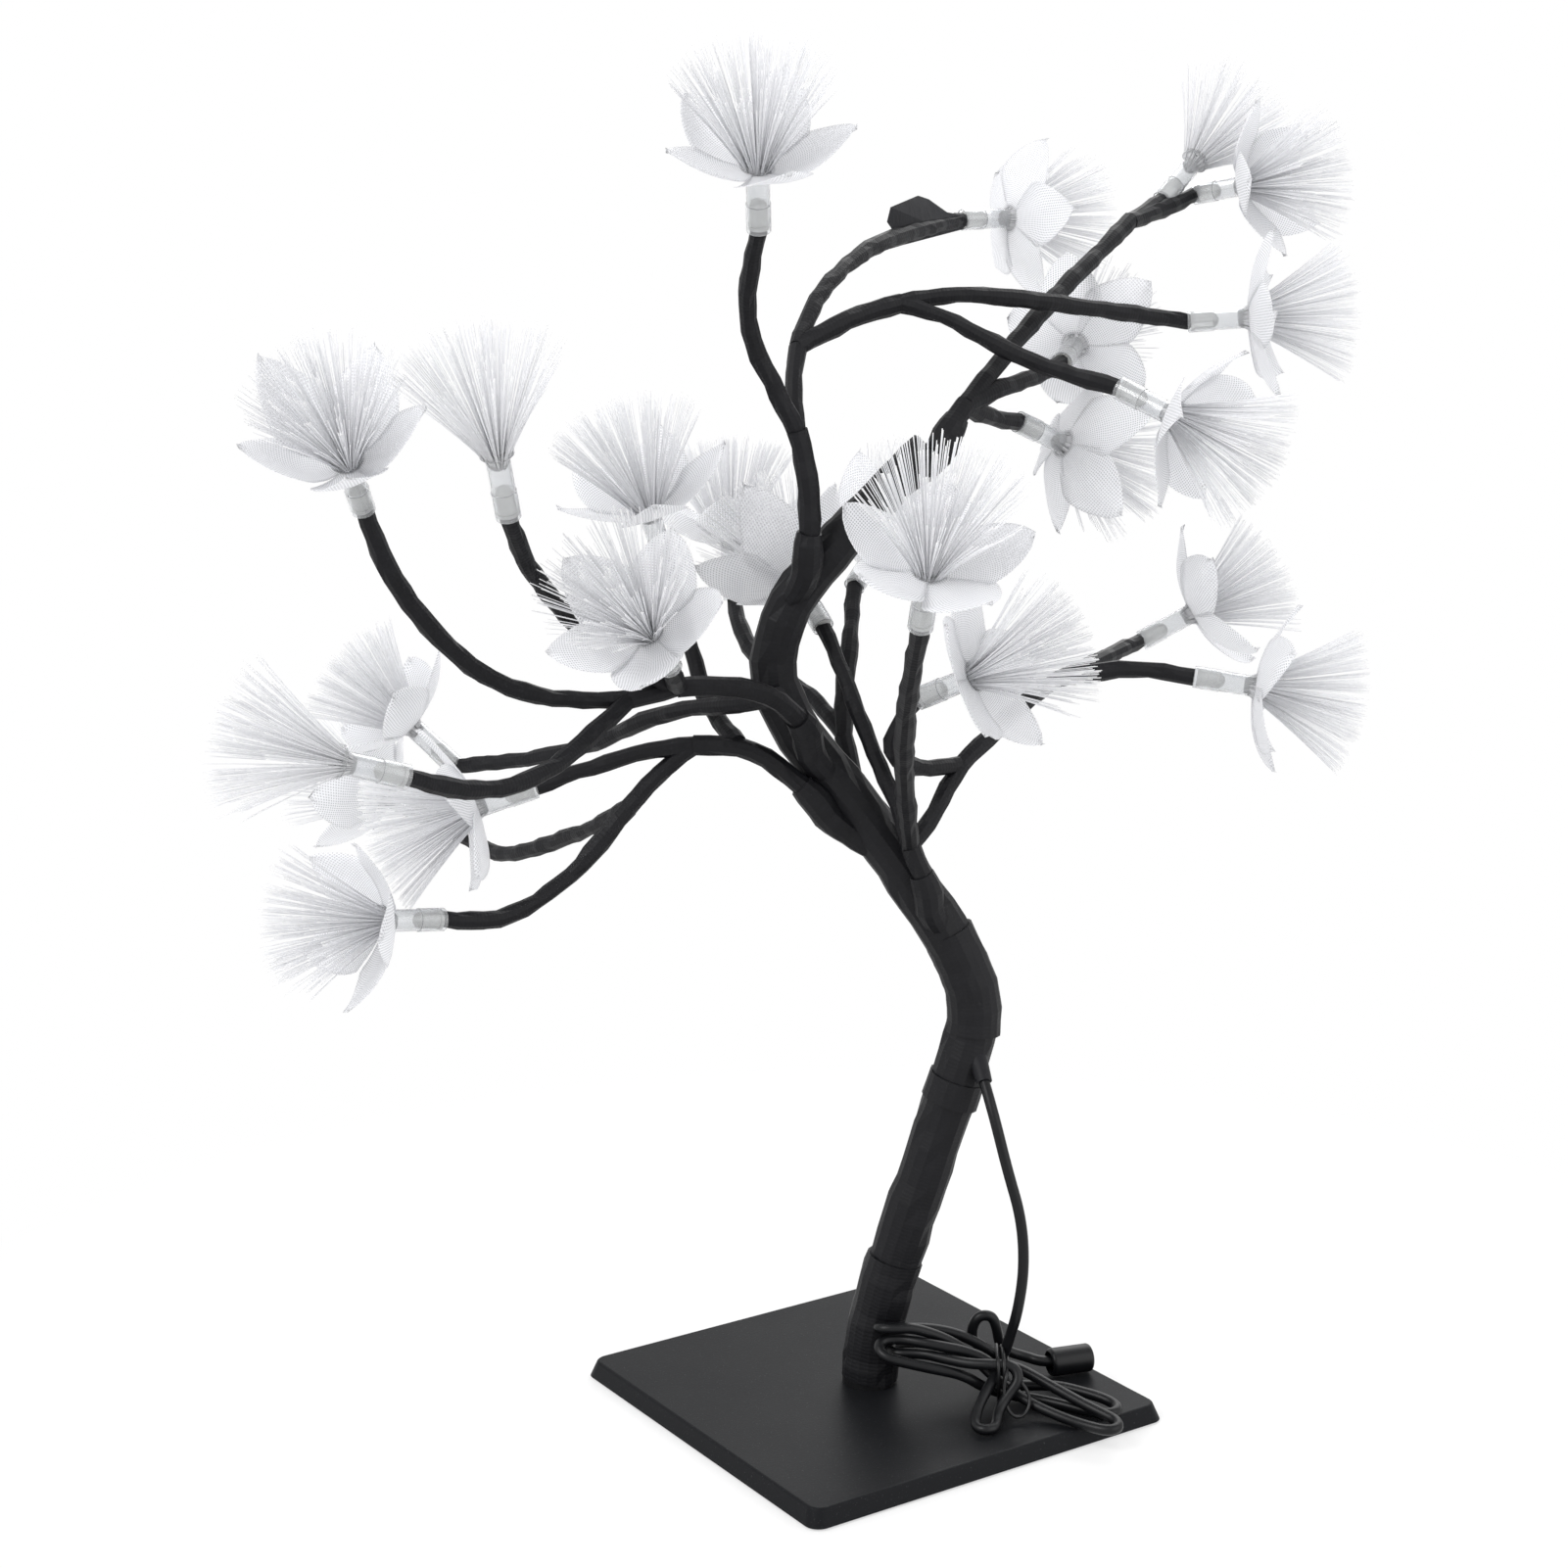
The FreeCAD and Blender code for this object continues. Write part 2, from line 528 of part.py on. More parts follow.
def make_corolla(rise):
    """A thin cup cut to pointed lobes whose tips rise that far."""
    def profile(lift):
        low = Vector(FERRULE_RADIUS + PETAL_HOLE_GAP, 0, lift)
        middle = Vector(PETAL_MID - 0.35 * lift, 0, PETAL_MID_SHARE * rise + 0.94 * lift)
        return low, middle, Vector(PETAL_REACH + PETAL_SPARE, 0, rise + PETAL_SPARE + 0.6 * lift)
    low, middle, high = profile(0)
    inner_low, inner_middle, inner_high = profile(PETAL_THICKNESS)
    outline = Part.Wire([Part.Arc(low, middle, high).toShape(),
                         Part.LineSegment(high, inner_high).toShape(),
                         Part.Arc(inner_high, inner_middle, inner_low).toShape(),
                         Part.LineSegment(inner_low, low).toShape()])
    cup = Part.Face(outline).revolve(Vector(0, 0, 0), Vector(0, 0, 1), 360)
    tall = 2 * PETAL_CLOSED
    lobes = [Part.makeCylinder(PETAL_HUB, tall, Vector(0, 0, -PETAL_SPARE))]
    for index in range(PETALS):
        left = Vector(PETAL_WIDEST, PETAL_HALF_WIDTH, -PETAL_SPARE)
        right = Vector(PETAL_WIDEST, -PETAL_HALF_WIDTH, -PETAL_SPARE)
        root, tip = Vector(0, 0, -PETAL_SPARE), Vector(PETAL_REACH, 0, -PETAL_SPARE)
        leaf = Part.Wire([Part.Arc(root, left, tip).toShape(), Part.Arc(tip, right, root).toShape()])
        prism = Part.Face(leaf).extrude(Vector(0, 0, tall))
        lobes.append(prism.rotate(Vector(0, 0, 0), Vector(0, 0, 1), 360 * index / PETALS))
    corolla = cup.common(fused(lobes))
    corolla = max(corolla.Solids, key=lambda solid: solid.Volume)
    corolla.translate(Vector(0, 0, SLEEVE_LENGTH + FERRULE_LENGTH - PETAL_DROP))
    return corolla


def stem_edges(route):
    """The path of one stem or twig."""
    return bent_edges([spot(*place) for place in route])


def make_limb(name, limb, lamp_pieces):
    """One bendable limb: tape, wires and its lamps."""
    stems = limb["stems"]
    lamps = limb["lamps"]
    pivot = spot(*stems[0][1][0])
    ball = Part.makeSphere(BALL_RADIUS, pivot)
    tape, wires, bores = [ball], [], []
    for radius, route in stems:
        edges = stem_edges(route)
        end, _ = path_end(edges)
        tape += [pipe(edges, radius), Part.makeSphere(radius, end)]
        wires += [pipe(edges, WIRE_RADIUS), Part.makeSphere(WIRE_RADIUS, end)]
        bores += [pipe(edges, WIRE_RADIUS + WIRE_GAP), Part.makeSphere(WIRE_RADIUS + WIRE_GAP, end)]
    wires.append(Part.makeSphere(WIRE_RADIUS, pivot))
    bores.append(Part.makeSphere(WIRE_RADIUS + WIRE_GAP, pivot))
    for route, _, _ in lamps:
        edges = stem_edges(route)
        length = sum(edge.Length for edge in edges)
        tape.append(pipe(edges, TWIG_RADIUS))
        wires.append(pipe(cut_back(edges, 0, length - WIRE_END_INSET), WIRE_RADIUS))
        bores.append(pipe(edges, WIRE_RADIUS + WIRE_GAP))
    tape = fused(tape).cut(fused(bores))
    wires = fused(wires)
    above = Part.makeCylinder(SLEEVE_RADIUS, SLEEVE_LENGTH, Vector(0, 0, LED_SEAT - LED_GAP))
    sleeve_room = ring_solid(SLEEVE_RADIUS + SLEEVE_GAP, SLEEVE_BORE - SLEEVE_GAP, 0, SLEEVE_LENGTH)
    for route, direction, _ in lamps:
        stand = lamp_placement(spot(*route[-1]), direction).toMatrix()
        for room in (above, sleeve_room):
            room = room.transformed(stand, True)
            tape = tape.cut(room)
            wires = wires.cut(room)
    export("limb_" + name + "_tape", max(tape.Solids, key=lambda solid: solid.Volume))
    export("limb_" + name + "_wires", max(wires.Solids, key=lambda solid: solid.Volume))

    groups = {piece: [] for piece in (*lamp_pieces, "petals")}
    for route, direction, petal_rise in lamps:
        stand = lamp_placement(spot(*route[-1]), direction).toMatrix()
        for piece, solids in lamp_pieces.items():
            groups[piece] += [solid.transformed(stand, True) for solid in solids]
        if petal_rise:
            groups["petals"].append(make_corolla(petal_rise).transformed(stand, True))
    for piece, solids in groups.items():
        export("limb_" + name + "_" + piece, solids)


def oval(centre, along, wide, tall):
    """A closed oval outline standing across a path."""
    side = along.cross(Vector(0, 0, 1)).normalize()
    up = side.cross(along).normalize()
    ring = []
    for step in range(12):
        around = math.radians(30 * step)
        ring.append(centre + side * (wide * math.cos(around)) + up * (tall * math.sin(around)))
    curve = Part.BSplineCurve()
    curve.interpolate(Points=ring, PeriodicFlag=True)
    return Part.Wire(curve.toShape())


def make_cord():
    """The lead from the collar to the tied hank and on to the power socket."""
    radii = []
    drop = bent_edges([spot(*place) for place in CORD_DROP], radii=radii)
    print("cord drop radii", [round(radius, 1) for radius in radii])
    places = [spot(*place) for place, _, _ in HANK_SECTIONS]
    sections = []
    for index, (_, wide, tall) in enumerate(HANK_SECTIONS):
        along = places[min(index + 1, len(places) - 1)] - places[max(index - 1, 0)]
        sections.append(oval(places[index], along, wide, tall))
    hank = Part.makeLoft(sections, True, False)
    drop_solid = max(pipe(drop, CORD_RADIUS).cut(hank).Solids, key=lambda solid: solid.Volume)
    export("cord_drop", drop_solid)
    export("cord_hank", hank)

    radii = []
    tail = bent_edges([spot(*place) for place in CORD_TAIL], radii=radii)
    print("cord tail radii", [round(radius, 1) for radius in radii])
    export("cord_tail", max(pipe(tail, CORD_RADIUS).cut(hank).Solids, key=lambda solid: solid.Volume))

    _, wide, tall = HANK_SECTIONS[TIE_SECTION]
    along = places[TIE_SECTION + 1] - places[TIE_SECTION - 1]
    grow = TIE_RADIUS + TIE_GAP
    loop = oval(places[TIE_SECTION], along, wide + grow, tall + grow)
    first = loop.Edges[0]
    disc = Part.makeCircle(TIE_RADIUS, first.valueAt(first.FirstParameter),
                           first.tangentAt(first.FirstParameter))
    lead_room = pipe(drop, CORD_RADIUS + LEAD_GAP)
    tie = loop.makePipe(Part.Face(Part.Wire(disc))).cut(hank).cut(lead_room)
    export("twist_tie", max(tie.Solids, key=lambda solid: solid.Volume))

    end, way = path_end(tail)
    stand = Placement(end - way * POWER_SKIRT_DEPTH, Rotation(Vector(0, 0, 1), way))
    body = Part.makeCylinder(POWER_RADIUS, POWER_LENGTH)
    body = body.makeFillet(POWER_ROUNDING, [edge for edge in body.Edges if edge.Closed])
    bore_bottom = POWER_LENGTH - POWER_DEPTH
    skirt_room = Part.makeCylinder(POWER_SKIRT_BORE, POWER_SKIRT_DEPTH)
    bore = Part.makeCylinder(POWER_BORE, POWER_DEPTH, Vector(0, 0, bore_bottom))
    export("power_socket", body.cut(skirt_room).cut(bore).transformed(stand.toMatrix(), True))
    liner = ring_solid(POWER_BORE, POWER_BORE - POWER_LINER, bore_bottom, POWER_LENGTH - POWER_LINER_INSET)
    pin = Part.makeCylinder(POWER_PIN_RADIUS, POWER_PIN_LENGTH, Vector(0, 0, bore_bottom))
    contacts = [piece.transformed(stand.toMatrix(), True) for piece in (liner, pin)]
    export("power_contacts", contacts)


make_foot()
make_trunk()
LAMP_PIECES = {
    "sleeves": [make_sleeve()],
    "leds": [make_led()],
    "ferrules": [make_ferrule()],
    "fibres": make_fibres(),
}
for limb_name, limb_parts in LIMBS.items():
    make_limb(limb_name, limb_parts, LAMP_PIECES)
make_cord()
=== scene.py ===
import math
import random

import bpy
from mathutils import Matrix, Vector


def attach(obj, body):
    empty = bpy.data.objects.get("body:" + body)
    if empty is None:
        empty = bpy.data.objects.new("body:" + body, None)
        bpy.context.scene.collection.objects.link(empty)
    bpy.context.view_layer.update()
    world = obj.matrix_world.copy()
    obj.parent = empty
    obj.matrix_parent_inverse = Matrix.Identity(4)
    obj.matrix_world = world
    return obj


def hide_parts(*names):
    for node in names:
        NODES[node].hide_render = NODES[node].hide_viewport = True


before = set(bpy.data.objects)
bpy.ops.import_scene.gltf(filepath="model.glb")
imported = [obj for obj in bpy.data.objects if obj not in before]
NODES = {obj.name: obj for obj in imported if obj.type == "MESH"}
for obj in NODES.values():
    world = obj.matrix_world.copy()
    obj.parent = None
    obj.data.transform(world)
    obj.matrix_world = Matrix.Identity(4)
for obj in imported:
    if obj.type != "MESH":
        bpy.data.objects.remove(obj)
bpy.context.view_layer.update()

# The looks of a fibre optic blossom tree lamp. Places, radii and lengths are in the tree's own
# millimetres, (across, back, up), where nothing else is said, and spot() turns them into metres on
# the model's axes.

MM = 0.001
TREE_TURN = math.radians(35.4)

TRUNK_ROUTE = [(0, 0, 6.5), (1.7, 0.4, 26), (9.6, 0.4, 52), (24.6, 0, 98), (33.4, 0, 126), (26, 0, 146),
               (-4, 0, 190), (-28, 0, 218), (-29, 0, 243), (-9, 0, 269), (17, 0, 295)]
TRUNK_RADIUS = [8.3, 8.3, 8.2, 8.0, 7.9, 7.7, 7.3, 7.0, 6.8, 6.4, 5.9]
# Turns of tape that lie over the trunk's winding: (lowest height, highest, radius at each, pitch)
TRUNK_BANDS = [(7.2, 46, 8.9, 8.75, 14), (97, 104.5, 8.75, 8.6, 2.1), (119, 150, 8.35, 8.0, 9)]

# Each limb: stems as (radius, route), lamps as (route, (azimuth, elevation, turn), rise of the petals)
LIMBS = {
    "a": (
        [(3.1, [(-18, -9, 267), (-16, -12, 284), (-21, -14, 301)]),
         (2.8, [(-21, -14, 301), (-23, -8, 312), (-21, 2, 324)]),
         (2.8, [(-21, 2, 324), (-7, 12, 333), (9, 20, 336)])],
        [([(-21, -14, 301), (-27, -19, 314), (-34, -26, 328), (-34, -36, 343), (-30, -47, 357)],
          (-89, 59, 18), 13.5),
         ([(-21, 2, 324), (-18, 13, 335), (-8, 36, 347), (6, 66, 356), (30, 115, 361)],
          (31, 2, 54), 9),
         ([(9, 20, 336), (21, 23, 339), (47, 32, 337), (72, 50, 333), (99, 68, 329)],
          (-7, 4, 48), 9.5),
         ([(9, 20, 336), (21, 18, 333), (35, 14, 325), (52, 9, 317), (72, 4, 312)],
          (-29, -24, 37), 14)],
    ),
    "b": (
        [(3.1, [(23, 2, 300), (28, 8, 307)]),
         (2.8, [(28, 8, 307), (41, 28, 322), (57, 54, 338), (75, 82, 353), (83, 96, 360)])],
        [([(83, 96, 360), (96, 122, 367)], (39, 41, 23), 0),
         ([(83, 96, 360), (97, 118, 364), (108, 133, 369)], (-35, 8, 55), 14),
         ([(28, 8, 307), (37, 17, 311), (48, 34, 313), (59, 55, 317)], (73, 15, 22), 14),
         ([(28, 8, 307), (34, 20, 302), (45, 40, 300)], (33, -23, 18), 14.5)],
    ),
    "c": (
        [(3.1, [(-19, -10, 214), (-26, -18, 225), (-40, -22, 229), (-55, -26, 229)]),
         (2.8, [(-55, -26, 229), (-69, -30, 226)])],
        [([(-55, -26, 229), (-69, -36, 237), (-79, -46, 247), (-86, -58, 258), (-92, -74, 270),
           (-94, -88, 284)], (-99, 62, 18), 0),
         ([(-69, -30, 226), (-86, -32, 226), (-100, -35, 229), (-113, -40, 237), (-127, -47, 254),
           (-135, -53, 271), (-138, -56, 283)], (-97, 48, 18), 21.5),
         ([(-69, -30, 226), (-77, -40, 219), (-89, -58, 210), (-101, -72, 208), (-114, -88, 212),
           (-121, -98, 217)], (-148, 18, 18), 0),
         ([(-26, -18, 225), (-37, -10, 221), (-51, 0, 219), (-68, 13, 213), (-81, 26, 204),
           (-98, 40, 197), (-115, 52, 192), (-134, 61, 189)], (-175, 45, 32), 15),
         ([(-55, -26, 229), (-55, -36, 232), (-55, -53, 239)], (-110, 39, 21), 15)],
    ),
    "d": (
        [(3.1, [(-17, -6, 193), (-27, -7, 203), (-39, -6, 209), (-52, -5, 208)]),
         (2.8, [(-52, -5, 208), (-61, -4, 202), (-72, -5, 189)])],
        [([(-52, -5, 208), (-65, -5, 207), (-81, -6, 202), (-91, -7, 199), (-99, -8, 196)],
          (-163, -16, 54), 10),
         ([(-72, -5, 189), (-83, 10, 180), (-93, 24, 174), (-108, 42, 165), (-121, 58, 160),
           (-133, 72, 163), (-146, 86, 166)], (159, 20, 18), 14.5),
         ([(-72, -5, 189), (-81, -10, 178), (-89, -15, 170), (-100, -22, 163), (-111, -30, 160),
           (-123, -37, 163)], (-144, 7, 18), 14),
         ([(-39, -6, 209), (-45, 6, 213), (-50, 12, 220), (-53, 15, 231), (-57, 16, 246),
           (-61, 14, 259)], (-125, 66, 52), 14.5)],
    ),
    "e": (
        [(3.1, [(17, -9, 166), (12, -11, 179)]),
         (2.8, [(12, -11, 179), (17, -8, 184), (21, -4, 192), (27, 2, 201)]),
         (2.8, [(27, 2, 201), (36, 10, 208), (48, 22, 218), (58, 32, 222)])],
        [([(12, -11, 179), (9, -9, 189), (1, -6, 206), (-8, 2, 229), (-14, 12, 241)],
          (123, 38, 4), 20),
         ([(12, -11, 179), (10, -28, 198), (9, -62, 227), (13, -95, 256)], (-79, 56, 18), 10.5),
         ([(27, 2, 201), (16, -8, 201), (7, -16, 206), (6, -22, 216), (14, -28, 226)],
          (-28, 24, 18), 8.5),
         ([(58, 32, 222), (72, 62, 223), (89, 92, 225)], (0, 29, 18), 14.5),
         ([(58, 32, 222), (73, 32, 225), (86, 32, 225), (99, 30, 223)], (-8, -8, 18), 10)],
    ),
    "f": (
        [(3.1, [(-4, 10, 191), (-8, 17, 207)])],
        [([(-8, 17, 207), (-8, 22, 222), (-6, 33, 235), (-5, 53, 248)], (60, 35, 26), 15),
         ([(-8, 17, 207), (-16, 30, 216), (-27, 43, 220), (-37, 56, 226), (-42, 67, 233),
           (-44, 75, 241)], (107, 78, 24), 15)],
    ),
}

# The lead: down from the trunk, round the tied hank on the foot, and on to the power socket
CORD_DIAMETER = 3.3
CORD_ROUTE = [
    (34.5, -10, 106), (36.9, -16.5, 98.8), (41.1, -19.4, 82), (45.5, -21, 67), (46.5, -22, 52),
    (44.8, -21.5, 38), (42.6, -18, 28), (40.8, -15.6, 20.5), (40.2, -13.8, 14.8), (42, -12.4, 10),
    (48, -10.8, 9), (57, -12, 9.8), (66, -16.2, 9.3), (71.6, -19, 8.6), (74.8, -22, 8),
    (74.8, -26, 7.7), (71, -27.6, 7.5), (65, -24.8, 7.5), (57, -20, 7.5), (49, -17, 7.8),
    (41.5, -16.3, 8.6), (34.6, -19.2, 12.2), (28.5, -19.8, 16.4), (19, -19.8, 18.3),
    (11, -19.6, 20), (5.6, -19.8, 21.4), (2.6, -17.2, 23.2), (3.8, -14.2, 25), (9.2, -13.2, 25.1),
    (16, -15.4, 24.8), (22, -16, 23.9), (29.5, -16, 22.4), (36, -17.2, 20.2), (38.8, -20.3, 17.3),
    (36, -25, 14.8), (33, -30, 11.5), (31.6, -34.2, 8.8), (32, -37.8, 7.6), (34.6, -39.4, 7.5),
    (37.4, -37.8, 7.5), (38.2, -34, 7.8), (38.8, -30, 9.4), (41.6, -27, 13), (45.4, -25, 17.4),
    (43.4, -22.6, 21), (37, -22.6, 21), (30, -21.2, 20.6), (22.5, -17.6, 20.7), (17.5, -14.6, 20.7),
    (12.8, -13.8, 20.6), (8.4, -13.8, 20.4), (6, -11, 20.2), (8.2, -8.1, 20), (12.6, -7.2, 19.6),
    (18.5, -7.2, 18.8), (26, -7.5, 16.8), (34, -8, 14.8), (40.4, -9, 15.2), (45.6, -12.6, 15.8),
    (56.6, -20.4, 12.4), (65, -27.4, 10.4), (70, -30.8, 9.2), (73.6, -33.4, 8.4), (74.4, -37, 7.7),
    (71, -39, 7.5), (65.4, -36.2, 7.5), (57.5, -30, 7.6), (48.4, -24.2, 9.4), (41.5, -20.4, 13),
    (36, -16.6, 16.2), (31, -12, 19.8), (24, -11.2, 24.2), (14, -13.8, 28.8), (8.4, -15.2, 29.2),
    (4, -15, 29), (2.2, -12.2, 28.2), (5.2, -9.4, 27.2), (10.6, -7.8, 26.2), (18.4, -6.2, 25.6),
    (27, -5.8, 23.8), (33.4, -5.8, 20.6), (38, -5.8, 17.6), (41.2, -3, 15.2), (39.4, 0.6, 14.2),
    (35.2, 1.5, 15), (32.2, 0.8, 18.8), (31.8, 0.1, 23.4), (33.8, -0.3, 27.4), (38, 0, 27.4),
    (39.7, 0.8, 22.6), (40.4, 2.9, 17), (43, 4.9, 13.4), (49, 6, 11.2), (54.5, 3.4, 10.4),
    (60.8, 5.2, 10.3),
]

CORD_RESOLUTION = (10, 5)  # steps along each span, and round each quarter

# The wire tie: where its turns start, how far across one of them goes, their (back, up) places
TIE_RADIUS = 0.55
TIE_RESOLUTION = (5, 3)
TIE_TURNS = 2
TIE_START = 38.6
TIE_ADVANCE = 1.7
TIE_ROUND = [(-16, 24.6), (-21.5, 23.6), (-25.4, 21.4), (-24.4, 14), (-21.6, 9.6), (-16.4, 6.4),
             (-11.6, 8.6), (-6.6, 14.4), (-7.6, 18.6), (-12, 22)]
TIE_ENDS = [(41.6, -26.4, 20.4), (40.4, -27.4, 15.6), (40.8, -28.4, 11), (43.2, -30.6, 7.6),
            (46.4, -29.6, 7.6), (48.4, -27.6, 10.4), (48, -25.6, 14), (45.4, -25.2, 16.8)]

# The tape's windings, in metres: each turn's pitch, its lap's height, the creases, the mesh's steps
TRUNK_WINDING = {"Pitch": 0.026, "Lap height": 0.0009, "Crumple": 0.0005, "Step": 0.006, "Sides": 15}
BAND_WINDING = {"Lap height": 0.0005, "Crumple": 0.0003, "Step": 0.0035, "Sides": 19}
KNOT_WINDING = {"Pitch": 0.010, "Lap height": 0.0004, "Crumple": 0.0004, "Step": 0.003, "Sides": 12}
LIMB_WINDING = {"Lap height": 0.0006, "Crumple": 0.00055, "Step": 0.0042, "Sides": 10}
LIMB_PITCH = 0.0125
LIMB_PITCH_STEP = 0.0017  # between one run and the next, so that they don't look alike
BAND_PLACES = 4
LAP_SWAY = 1.6  # how far the laps stray, in turns
FINE_CREASES = 0.7
BROAD_CREASES = 2.6

# A limb's taped root: two places below its pivot, the first in the trunk's middle and the second
# this share of the way out of it, then three along the limb
KNOT_RADII = [3.0, 4.4, 4.7, 4.3, 3.7]
KNOT_DEEP = 22
KNOT_NEAR = 10
KNOT_NEAR_SHARE = 0.62
KNOT_OFFSETS = (-1, 2.5, 4.6)

TWIG_RADIUS = 2.45
TWIG_ROOT_RADIUS = 2.75
TWIG_TIP_RADIUS = 2.5

# The flap of loose tape on limb a: its rim, and how far its two sides lie apart there and in its middle
FLAG_RIM = [(10.2, 74, 353), (30.2, 112, 358), (31, 112, 362.4), (24.5, 101, 363.3), (18.4, 92, 367.3),
            (15, 86, 368.3), (6.2, 68, 364.5), (5.1, 66, 360)]
FLAG_MIDDLE = (16.5, 86, 360.5)
FLAG_THICKNESS = 0.9
FLAG_BULGES = (-1.4, 1.6)

# A lamp along Z: the sleeve from 0, then the ferrule up to its mouth
SLEEVE_LENGTH = 8.0
FERRULE_LENGTH = 12.5
MOUTH = SLEEVE_LENGTH + FERRULE_LENGTH

FIBRE_ROOT = MOUTH - 5.0
FIBRE_CUT_END = 0.955  # the share of a fibre's length from which it counts as its end
FIBRE_SHORTEST = 0.955  # as a share of the longest
FIBRES_IN_BUNDLE = 10.0
BUNDLE_TURN = 2.39996  # from one bundle to the next, the golden angle
BUNDLE_STRAY = 0.45
FIBRE_STRAY = 0.55
TUFT_SEEDS = (11, 23, 37, 51)
# In metres, and the splay of the outermost fibre in radians
TUFT_SETTINGS = {"Count": 300, "Length": 0.038, "Splay": 0.6, "Bundle radius": 0.0023, "Thickness": 0.00013}

PETALS = 5
PETAL_BASE = MOUTH - 2.1
PETAL_ROOT_RADIUS = 3.5
PETAL_LENGTH = 23.2
PETAL_HALF_WIDTH = 11.4
PETAL_ROOT_HALF_WIDTH = 2.4
PETAL_LAP = 0.12
PETAL_ROWS = 14
PETAL_COLUMNS = 10
CLOTH_LENGTH = 33  # of a petal on the cloth's own map
CLOTH_STRIDE = 0.04  # from petal to petal on that map, in metres
CLOTH_THICKNESS = 0.00012  # in metres
CLOTH_THREAD_PITCH = 0.84

CAMERA_PLACE = (0, -774.8, 351.9)
CAMERA_ANGLES = (-1.894, -11.41, -0.32)  # yaw, pitch and roll, in degrees
CAMERA_FOCUS = 2705.8 / 1601  # the focal length, as a share of the picture's width
SENSOR_WIDTH = 36.0
FLOOR_HALF_SIDE = 6.0  # in metres
FLOOR_DROP = 0.0002  # in metres, so that the foot's pad doesn't lie in the floor's face
SURROUND_LIGHT = 0.72  # on the lamp, as a share of the white that the camera sees


def spot(across, back, up):
    """A place on the tree, in metres on the model's axes."""
    c, s = math.cos(TREE_TURN), math.sin(TREE_TURN)
    return Vector((across * c + back * s, -across * s + back * c, up)) * MM


def lamp_stand(tip, direction):
    """The placing of a lamp that is made along Z, in metres."""
    azimuth, elevation, turn = direction
    return (Matrix.Translation(spot(*tip))
            @ Matrix.Rotation(math.radians(azimuth) - TREE_TURN, 4, "Z")
            @ Matrix.Rotation(math.radians(90 - elevation), 4, "Y")
            @ Matrix.Rotation(math.radians(turn), 4, "Z"))


# ---------------------------------------------------------------- nodes

class Wire:
    """An output socket that takes part in sums."""

    def __init__(self, nodes, socket):
        self.nodes = nodes
        self.socket = socket

    def other(self, name):
        """Another output of the same node."""
        return Wire(self.nodes, self.socket.node.outputs[name])

    def sum(self, operation, first, second=0.0, third=0.0):
        """What a math node makes of wires or plain numbers."""
        return self.nodes.add("ShaderNodeMath", {"operation": operation}, {0: first, 1: second, 2: third})

    def __add__(self, value):
        return self.sum("ADD", self, value)

    __radd__ = __add__

    def __sub__(self, value):
        return self.sum("SUBTRACT", self, value)

    def __rsub__(self, value):
        return self.sum("SUBTRACT", value, self)

    def __mul__(self, value):
        return self.sum("MULTIPLY", self, value)

    __rmul__ = __mul__

    def __truediv__(self, value):
        return self.sum("DIVIDE", self, value)

    def __pow__(self, value):
        return self.sum("POWER", self, value)

    def fraction(self):
        return self.sum("FRACT", self)

    def sine(self):
        return self.sum("SINE", self)

    def above(self, value):
        return self.sum("GREATER_THAN", self, value)


class Nodes:
    """Adds nodes to one tree."""

    def __init__(self, tree):
        self.tree = tree

    def add(self, kind, settings=None, sockets=None, out=0):
        """Adds a node, whose sockets take plain values or wires, and gives one of its outputs."""
        node = self.tree.nodes.new(kind)
        for name, value in (settings or {}).items():
            setattr(node, name, value)
        for name, value in (sockets or {}).items():
            if isinstance(value, Wire):
                self.tree.links.new(value.socket, node.inputs[name])
            else:
                node.inputs[name].default_value = value
        return Wire(self, node.outputs[out])


# ---------------------------------------------------------------- materials

def finish_for(name):
    """A new material's nodes and its output node."""
    material = bpy.data.materials.new(name)
    material.use_nodes = True
    tree = material.node_tree
    tree.nodes.clear()
    output = tree.nodes.new("ShaderNodeOutputMaterial")
    return material, Nodes(tree), output


def show(nodes, output, shader):
    """Makes a shader the surface of its material or world."""
    nodes.tree.links.new(shader.socket, output.inputs["Surface"])


def place(nodes, scale=(1, 1, 1)):
    """Object coordinates, stretched."""
    coordinates = nodes.add("ShaderNodeTexCoord", out="Object")
    return nodes.add("ShaderNodeMapping", {}, {"Vector": coordinates, "Scale": scale})


def noise(nodes, where, scale, detail, roughness):
    """Noise from 0 to 1, with about this many lumps in a metre."""
    return nodes.add("ShaderNodeTexNoise", {}, {"Vector": where, "Scale": scale, "Detail": detail,
                                                "Roughness": roughness})


def blend_colours(nodes, amount, first, second):
    """The first colour where the amount is 0, the second where it is 1."""
    return nodes.add("ShaderNodeMix", {"data_type": "RGBA"}, {0: amount, 6: first, 7: second}, out=2)


def bump(nodes, height, strength, distance):
    """A normal from a height between 0 and 1 that stands for this distance, in metres."""
    return nodes.add("ShaderNodeBump", {}, {"Height": height, "Strength": strength, "Distance": distance})


def seen_by_camera(nodes):
    """1 for what the camera sees, also in a reflection or through clear plastic, and 0 for light."""
    ray = nodes.add("ShaderNodeLightPath", out="Is Camera Ray")
    seen = ray.sum("MAXIMUM", ray, ray.other("Is Glossy Ray"))
    return seen.sum("MAXIMUM", seen, ray.other("Is Transmission Ray"))


